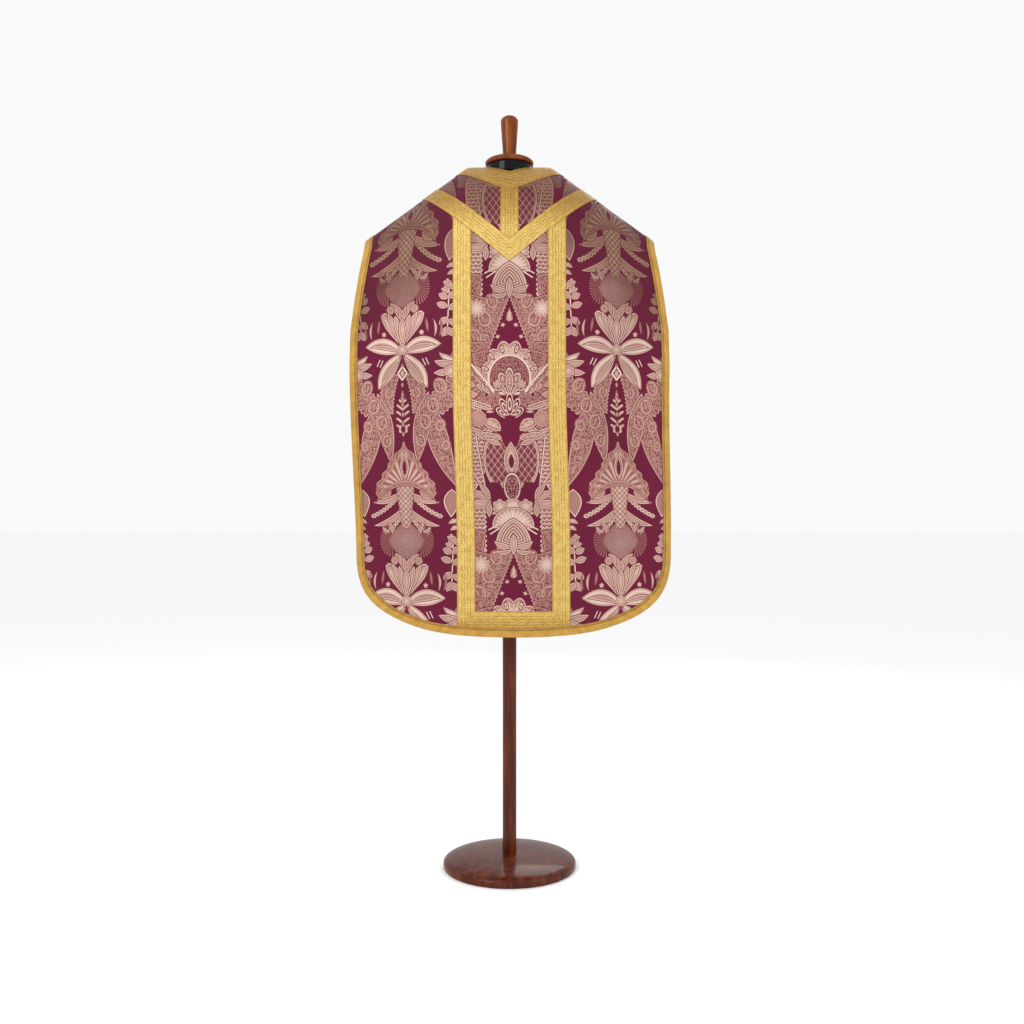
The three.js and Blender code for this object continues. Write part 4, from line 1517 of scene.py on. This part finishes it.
# %% [markdown]
# ## Brocade
# The ground is a plum satin. The figure is a pale weft with a metal thread in it, so it is a little
# metallic and smoother than the ground, and it stands up from it by a hair. On the shoulders the
# figure is painted a dull olive brown and the ground a little darker: painted shade for the upturned
# slope. Sheen gives the soft edge light of silk.

# %% Brocade material
def new_material(name):
    material = bpy.data.materials.new(name)
    material.use_nodes = True
    return material, material.node_tree, material.node_tree.nodes["Principled BSDF"]


def linear(*screen):
    """A colour as a screen shows it, red, green and blue from 0 to 255, as light."""
    shares = [value / 255 for value in screen]
    return tuple(
        share / 12.92 if share <= 10 / 255 else ((share + 0.055) / 1.055) ** 2.4 for share in shares
    )


def tinted(tree, share, first, second, blend="MIX"):
    """A colour part of the way from the first to the second."""
    node = tree.nodes.new("ShaderNodeMix")
    node.data_type = "RGBA"
    node.blend_type = blend
    plug(tree, node.inputs[0], share)
    for socket, value in ((node.inputs[6], first), (node.inputs[7], second)):
        plug(tree, socket, value if isinstance(value, Wire) else (*value, 1))
    return Wire(tree, node.outputs[2])


def bumped(tree, shader, height, strength, distance):
    node = tree.nodes.new("ShaderNodeBump")
    node.inputs["Strength"].default_value = strength
    node.inputs["Distance"].default_value = distance
    plug(tree, node.inputs["Height"], height)
    tree.links.new(node.outputs["Normal"], shader.inputs["Normal"])


pattern, (cloth_x, cloth_z), pattern_out = block("figured pattern", ("Across", "Up"))
loom = Loom(pattern, cloth_x, cloth_z)
speckle, net, lattice, scales, basket = fillings(loom)
centre_pattern(loom, speckle, lattice, scales)
sprigs(loom)
side_pattern(loom, speckle, net, basket)
plug(pattern, pattern_out.inputs[0], loom.tone)
print("motifs:", loom.count, "stamps:", len(BLOCKS), "nodes:", len(pattern.nodes))

brocade, tree, shader = new_material("plum brocade")
x, z, _ = attribute(tree, "grain").parts()
across, up = x * 1000, z * 1000
# On the shoulders the cloth is pulled towards the neck, so the figure leans in with it.
LEAN_FROM, LEAN_RISE = 1400, 170  # it starts at this height and is full so much further up
SIDE_FROM, SIDE_WIDTH = 100, 60  # and the same outwards from the centre line
beyond = across.math("ABSOLUTE")
side = beyond.times_plus(1 / SIDE_WIDTH, -SIDE_FROM / SIDE_WIDTH, clamp=True)
lean = up.times_plus(1 / LEAN_RISE, -LEAN_FROM / LEAN_RISE, clamp=True) * side
drawn_across = lean.times_plus(19, side * -5) + beyond
drawn_up = up + lean * beyond.times_plus(0.12, -0.12 * Loom.ACROSS)
tone = stamp(tree, pattern, drawn_across, drawn_up)

TONES = [
    (0.0, linear(109, 16, 52)),
    (0.12, linear(114, 26, 54)),
    (0.3, linear(138, 68, 76)),
    (0.5, linear(172, 118, 108)),
    (0.72, linear(208, 168, 153)),
    (0.9, linear(240, 212, 194)),
    (1.0, linear(250, 234, 216)),
]
silk, _ = ramp(tree, tone, TONES)
# Darker, olive-brown tones of the same pattern: painted shade for the shoulders.
shaded_silk, _ = ramp(
    tree, tone,
    [
        (0.0, linear(98, 14, 46)), (0.25, linear(100, 42, 50)), (0.55, linear(126, 86, 72)),
        (1.0, linear(182, 146, 122)),
    ],
)
grid = pair(tree, across, up)
# Painted shade on the shoulders: a mask that grows with height and with distance from the centre
# line, broken up by noise, mixes in the darker tones.
shade_noise = noise(tree, grid, 0.012, 1.0)
shoulder_shade = z.times_plus(8, -12) + x.math("ABSOLUTE") * 5.8 + shade_noise * 1.2
shoulder_shade = shoulder_shade.math("ADD", -0.6, clamp=True)
colour = tinted(tree, shoulder_shade, silk, shaded_silk)
patches = noise(tree, grid, 0.006, 3.0).times_plus(0.44, 0.5)
grey = tree.nodes.new("ShaderNodeCombineColor")
for socket in grey.inputs:
    plug(tree, socket, patches)
colour = tinted(tree, 1.0, colour, Wire(tree, grey.outputs[0]), "MULTIPLY")
plug(tree, shader.inputs["Base Color"], colour)
figure = tone.times_plus(4, -0.6, clamp=True)
plug(tree, shader.inputs["Roughness"], figure.times_plus(-0.16, 0.62))
plug(tree, shader.inputs["Metallic"], figure * 0.28)
shader.inputs["Specular IOR Level"].default_value = 0.16
shader.inputs["Sheen Weight"].default_value = 0.07
shader.inputs["Sheen Roughness"].default_value = 0.4
shader.inputs["Sheen Tint"].default_value = (0.9, 0.45, 0.65, 1)
WEFT_PITCH, WARP_PITCH = 1.1, 0.9
weft = (up * (2 * math.pi / WEFT_PITCH)).math("SINE")
warp = (across * (2 * math.pi / WARP_PITCH)).math("SINE")
bumped(tree, shader, weft * warp, 0.25, 0.0002)
for piece in (back_panel, front_panel):
    piece.data.materials.append(brocade)
# %% [markdown]
# ## Gold galloon
# The ribbon is gold thread woven over a cotton core. Its pattern is a chain of small baskets: each
# has four upright bars in a frame, and the frames follow each other along the ribbon. The bars are
# grooves where the thread dives, so they are darker and lower. A firm edge cord runs along both
# sides. All of it is drawn on the ribbon's own attribute, in millimetres along and across.

# %% Galloon material
def object_place(tree, scale):
    place = tree.nodes.new("ShaderNodeTexCoord")
    stretch = tree.nodes.new("ShaderNodeMapping")
    tree.links.new(place.outputs["Object"], stretch.inputs["Vector"])
    stretch.inputs["Scale"].default_value = scale
    return Wire(tree, stretch.outputs[0])


def groove(distance, width):
    """One in the middle of a groove, and nothing past its width, from a distance wire."""
    return distance.math("ABSOLUTE").times_plus(-1 / width, 1, clamp=True)


galloon_gold, tree, shader = new_material("gold galloon")
along, across, _ = attribute(tree, "grain").parts()
_, _, height = object_place(tree, (1, 1, 1)).parts()
along, across = along * 1000, across * 1000
away = across.math("ABSOLUTE")
REPEAT, BAR = 20.5, 6.6
cell = along.math("WRAP", REPEAT / 2, -REPEAT / 2)
bars = groove(away.math("WRAP", BAR / 2, -BAR / 2).math("ABSOLUTE").times_plus(-1, BAR / 2), 1.15)
cell = cell.math("ABSOLUTE")
bars = bars * away.times_plus(-0.8, 10.4, clamp=True) * cell.times_plus(-0.9, 6.6, clamp=True)
frames = groove(cell - 8.4, 0.9) * away.times_plus(-0.8, 11.6, clamp=True) * 0.55
rails = groove(away - 14.6, 0.8) * 0.35
edges = groove(away - 18.6, 1.0) * 0.5
dark = bars.math("MAXIMUM", frames).math("MAXIMUM", rails).math("MAXIMUM", edges)
weft = (along * (2 * math.pi / 1.25)).math("SINE")
warp = (across * (2 * math.pi / 1.6)).math("SINE")
fine = weft * warp
shine = noise(tree, pair(tree, along, across), 0.07, 3.0)
grit = noise(tree, pair(tree, along, across), 0.42, 2.0)
# The gold is painted darker at the hem and on the shoulders: painted shade.
hem_shoulder_shade = height.times_plus(-22, 14.0, clamp=True)
hem_shoulder_shade = hem_shoulder_shade.math("MAXIMUM", height.times_plus(14, -21.4, clamp=True))
value = fine.times_plus(0.06, 0.78) + shine.times_plus(0.5, -0.25) + grit.times_plus(1.1, -0.55)
value = value - dark * 0.56 - hem_shoulder_shade * 0.3
gold, _ = ramp(
    tree, value,
    [
        (0.1, linear(120, 80, 24)), (0.45, linear(164, 124, 46)), (0.72, linear(194, 160, 76)),
        (0.95, linear(220, 194, 116)),
    ],
)
cord = away.times_plus(0.9, -16.6, clamp=True)
plug(tree, shader.inputs["Base Color"], tinted(tree, cord * 0.55, gold, linear(160, 104, 26)))
shader.inputs["Metallic"].default_value = 0.3
plug(tree, shader.inputs["Roughness"], shine.times_plus(0.16, 0.36))
bumped(tree, shader, fine * 0.3 - dark * 1.2 + cord * 0.6, 0.6, 0.0004)
for piece in (neck_galloon, yoke_galloon, centre_galloon, *columns, *hem_galloons):
    piece.data.materials.append(galloon_gold)

# %% [markdown]
# ## Gold braid
# The binding is a softer, rounder braid. Its threads cross at a slant, and one cord near its inner
# edge stands a little lower, with the line of sewing beside it. Its rounded edge catches the light.

# %% Braid material
braid_gold, tree, shader = new_material("gold braid")
along, across, _ = attribute(tree, "grain").parts()
along, across = along * 1000, across * 1000
slant = ((along + across * 0.9) * (2 * math.pi / 3.1)).math("SINE")
other = ((along - across * 0.9) * (2 * math.pi / 3.1)).math("SINE")
plait = slant.math("MAXIMUM", other)
sewing = groove(across + 13.4, 0.9)
inner = across.times_plus(-0.45, -5.2, clamp=True)
shine = noise(tree, pair(tree, along, across), 0.05, 3.0)
grit = noise(tree, pair(tree, along, across), 0.7, 2.0)
value = plait.times_plus(0.1, 0.6) + shine.times_plus(0.5, -0.25) + grit.times_plus(0.5, -0.25)
value = value - sewing * 0.4 - inner * 0.16
gold, _ = ramp(
    tree, value,
    [
        (0.05, linear(104, 64, 16)), (0.4, linear(150, 106, 30)), (0.65, linear(182, 138, 50)),
        (0.95, linear(208, 168, 80)),
    ],
)
plug(tree, shader.inputs["Base Color"], gold)
shader.inputs["Metallic"].default_value = 0.25
plug(tree, shader.inputs["Roughness"], shine.times_plus(0.16, 0.4))
bumped(tree, shader, plait * 0.5 - sewing, 0.7, 0.0005)
for piece in (back_binding, front_binding):
    piece.data.materials.append(braid_gold)

# %% [markdown]
# ## Lacquer and varnished wood
# The form is lacquered black, so it is dark and mirror-like with the faintest unevenness. The stand
# is stained chestnut and the finial a redder wood, both under clear varnish. The wood's grain runs
# up the turning, so a noise is stretched along z, and the varnish is the shader's coat.

# %% Lacquer and wood materials
def varnished(name, dark, middle, light, scale, coat_roughness):
    material, tree, shader = new_material(name)
    streaks = noise(tree, object_place(tree, scale), 60.0, 4.0)
    fine = noise(tree, object_place(tree, (scale[0] * 3, scale[1] * 3, scale[2])), 160.0, 2.0)
    value = streaks * 0.75 + fine * 0.25
    wood, _ = ramp(tree, value, [(0.3, dark), (0.5, middle), (0.72, light)])
    plug(tree, shader.inputs["Base Color"], wood)
    plug(tree, shader.inputs["Roughness"], value.times_plus(0.2, 0.3))
    shader.inputs["Specular IOR Level"].default_value = 0.06
    shader.inputs["Coat Weight"].default_value = 0.28
    shader.inputs["Coat Roughness"].default_value = coat_roughness
    bumped(tree, shader, value, 0.06, 0.0005)
    return material


lacquer, tree, shader = new_material("black lacquer")
waves = noise(tree, object_place(tree, (1, 1, 1)), 14.0, 2.0)
black, _ = ramp(tree, waves, [(0.3, (0.0035, 0.004, 0.006)), (0.7, (0.007, 0.008, 0.012))])
plug(tree, shader.inputs["Base Color"], black)
plug(tree, shader.inputs["Roughness"], waves.times_plus(0.12, 0.14))
shader.inputs["Specular IOR Level"].default_value = 0.06
shader.inputs["Coat Weight"].default_value = 0.1
shader.inputs["Coat Roughness"].default_value = 0.08
bumped(tree, shader, waves, 0.05, 0.002)
chestnut = varnished(
    "chestnut", linear(40, 12, 4), linear(78, 28, 9), linear(110, 48, 16), (1, 1, 0.12), 0.12
)
knob_wood = varnished(
    "knob wood", linear(70, 26, 3), linear(112, 52, 8), linear(146, 80, 20), (1, 1, 0.1), 0.1
)
for piece in (form, neck):
    piece.data.materials.append(lacquer)
for piece in (stand_base, stand_pole):
    piece.data.materials.append(chestnut)
for piece in (neck_cap, knob):
    piece.data.materials.append(knob_wood)

# %% [markdown]
# ## Floor
# The floor is a wide, flat, pale sheet.

# %% Floor
bm = bmesh.new()
bmesh.ops.create_grid(bm, x_segments=1, y_segments=1, size=40)
mesh = bpy.data.meshes.new("floor")
bm.to_mesh(mesh)
bm.free()
floor = bpy.data.objects.new("floor", mesh)
floor.location = (0, 0, -0.0005)
bpy.context.scene.collection.objects.link(floor)
paper, _, shader = new_material("paper")
shader.inputs["Base Color"].default_value = (0.97, 0.97, 0.97, 1)
shader.inputs["Roughness"].default_value = 0.9
shader.inputs["Specular IOR Level"].default_value = 0.0
floor.data.materials.append(paper)
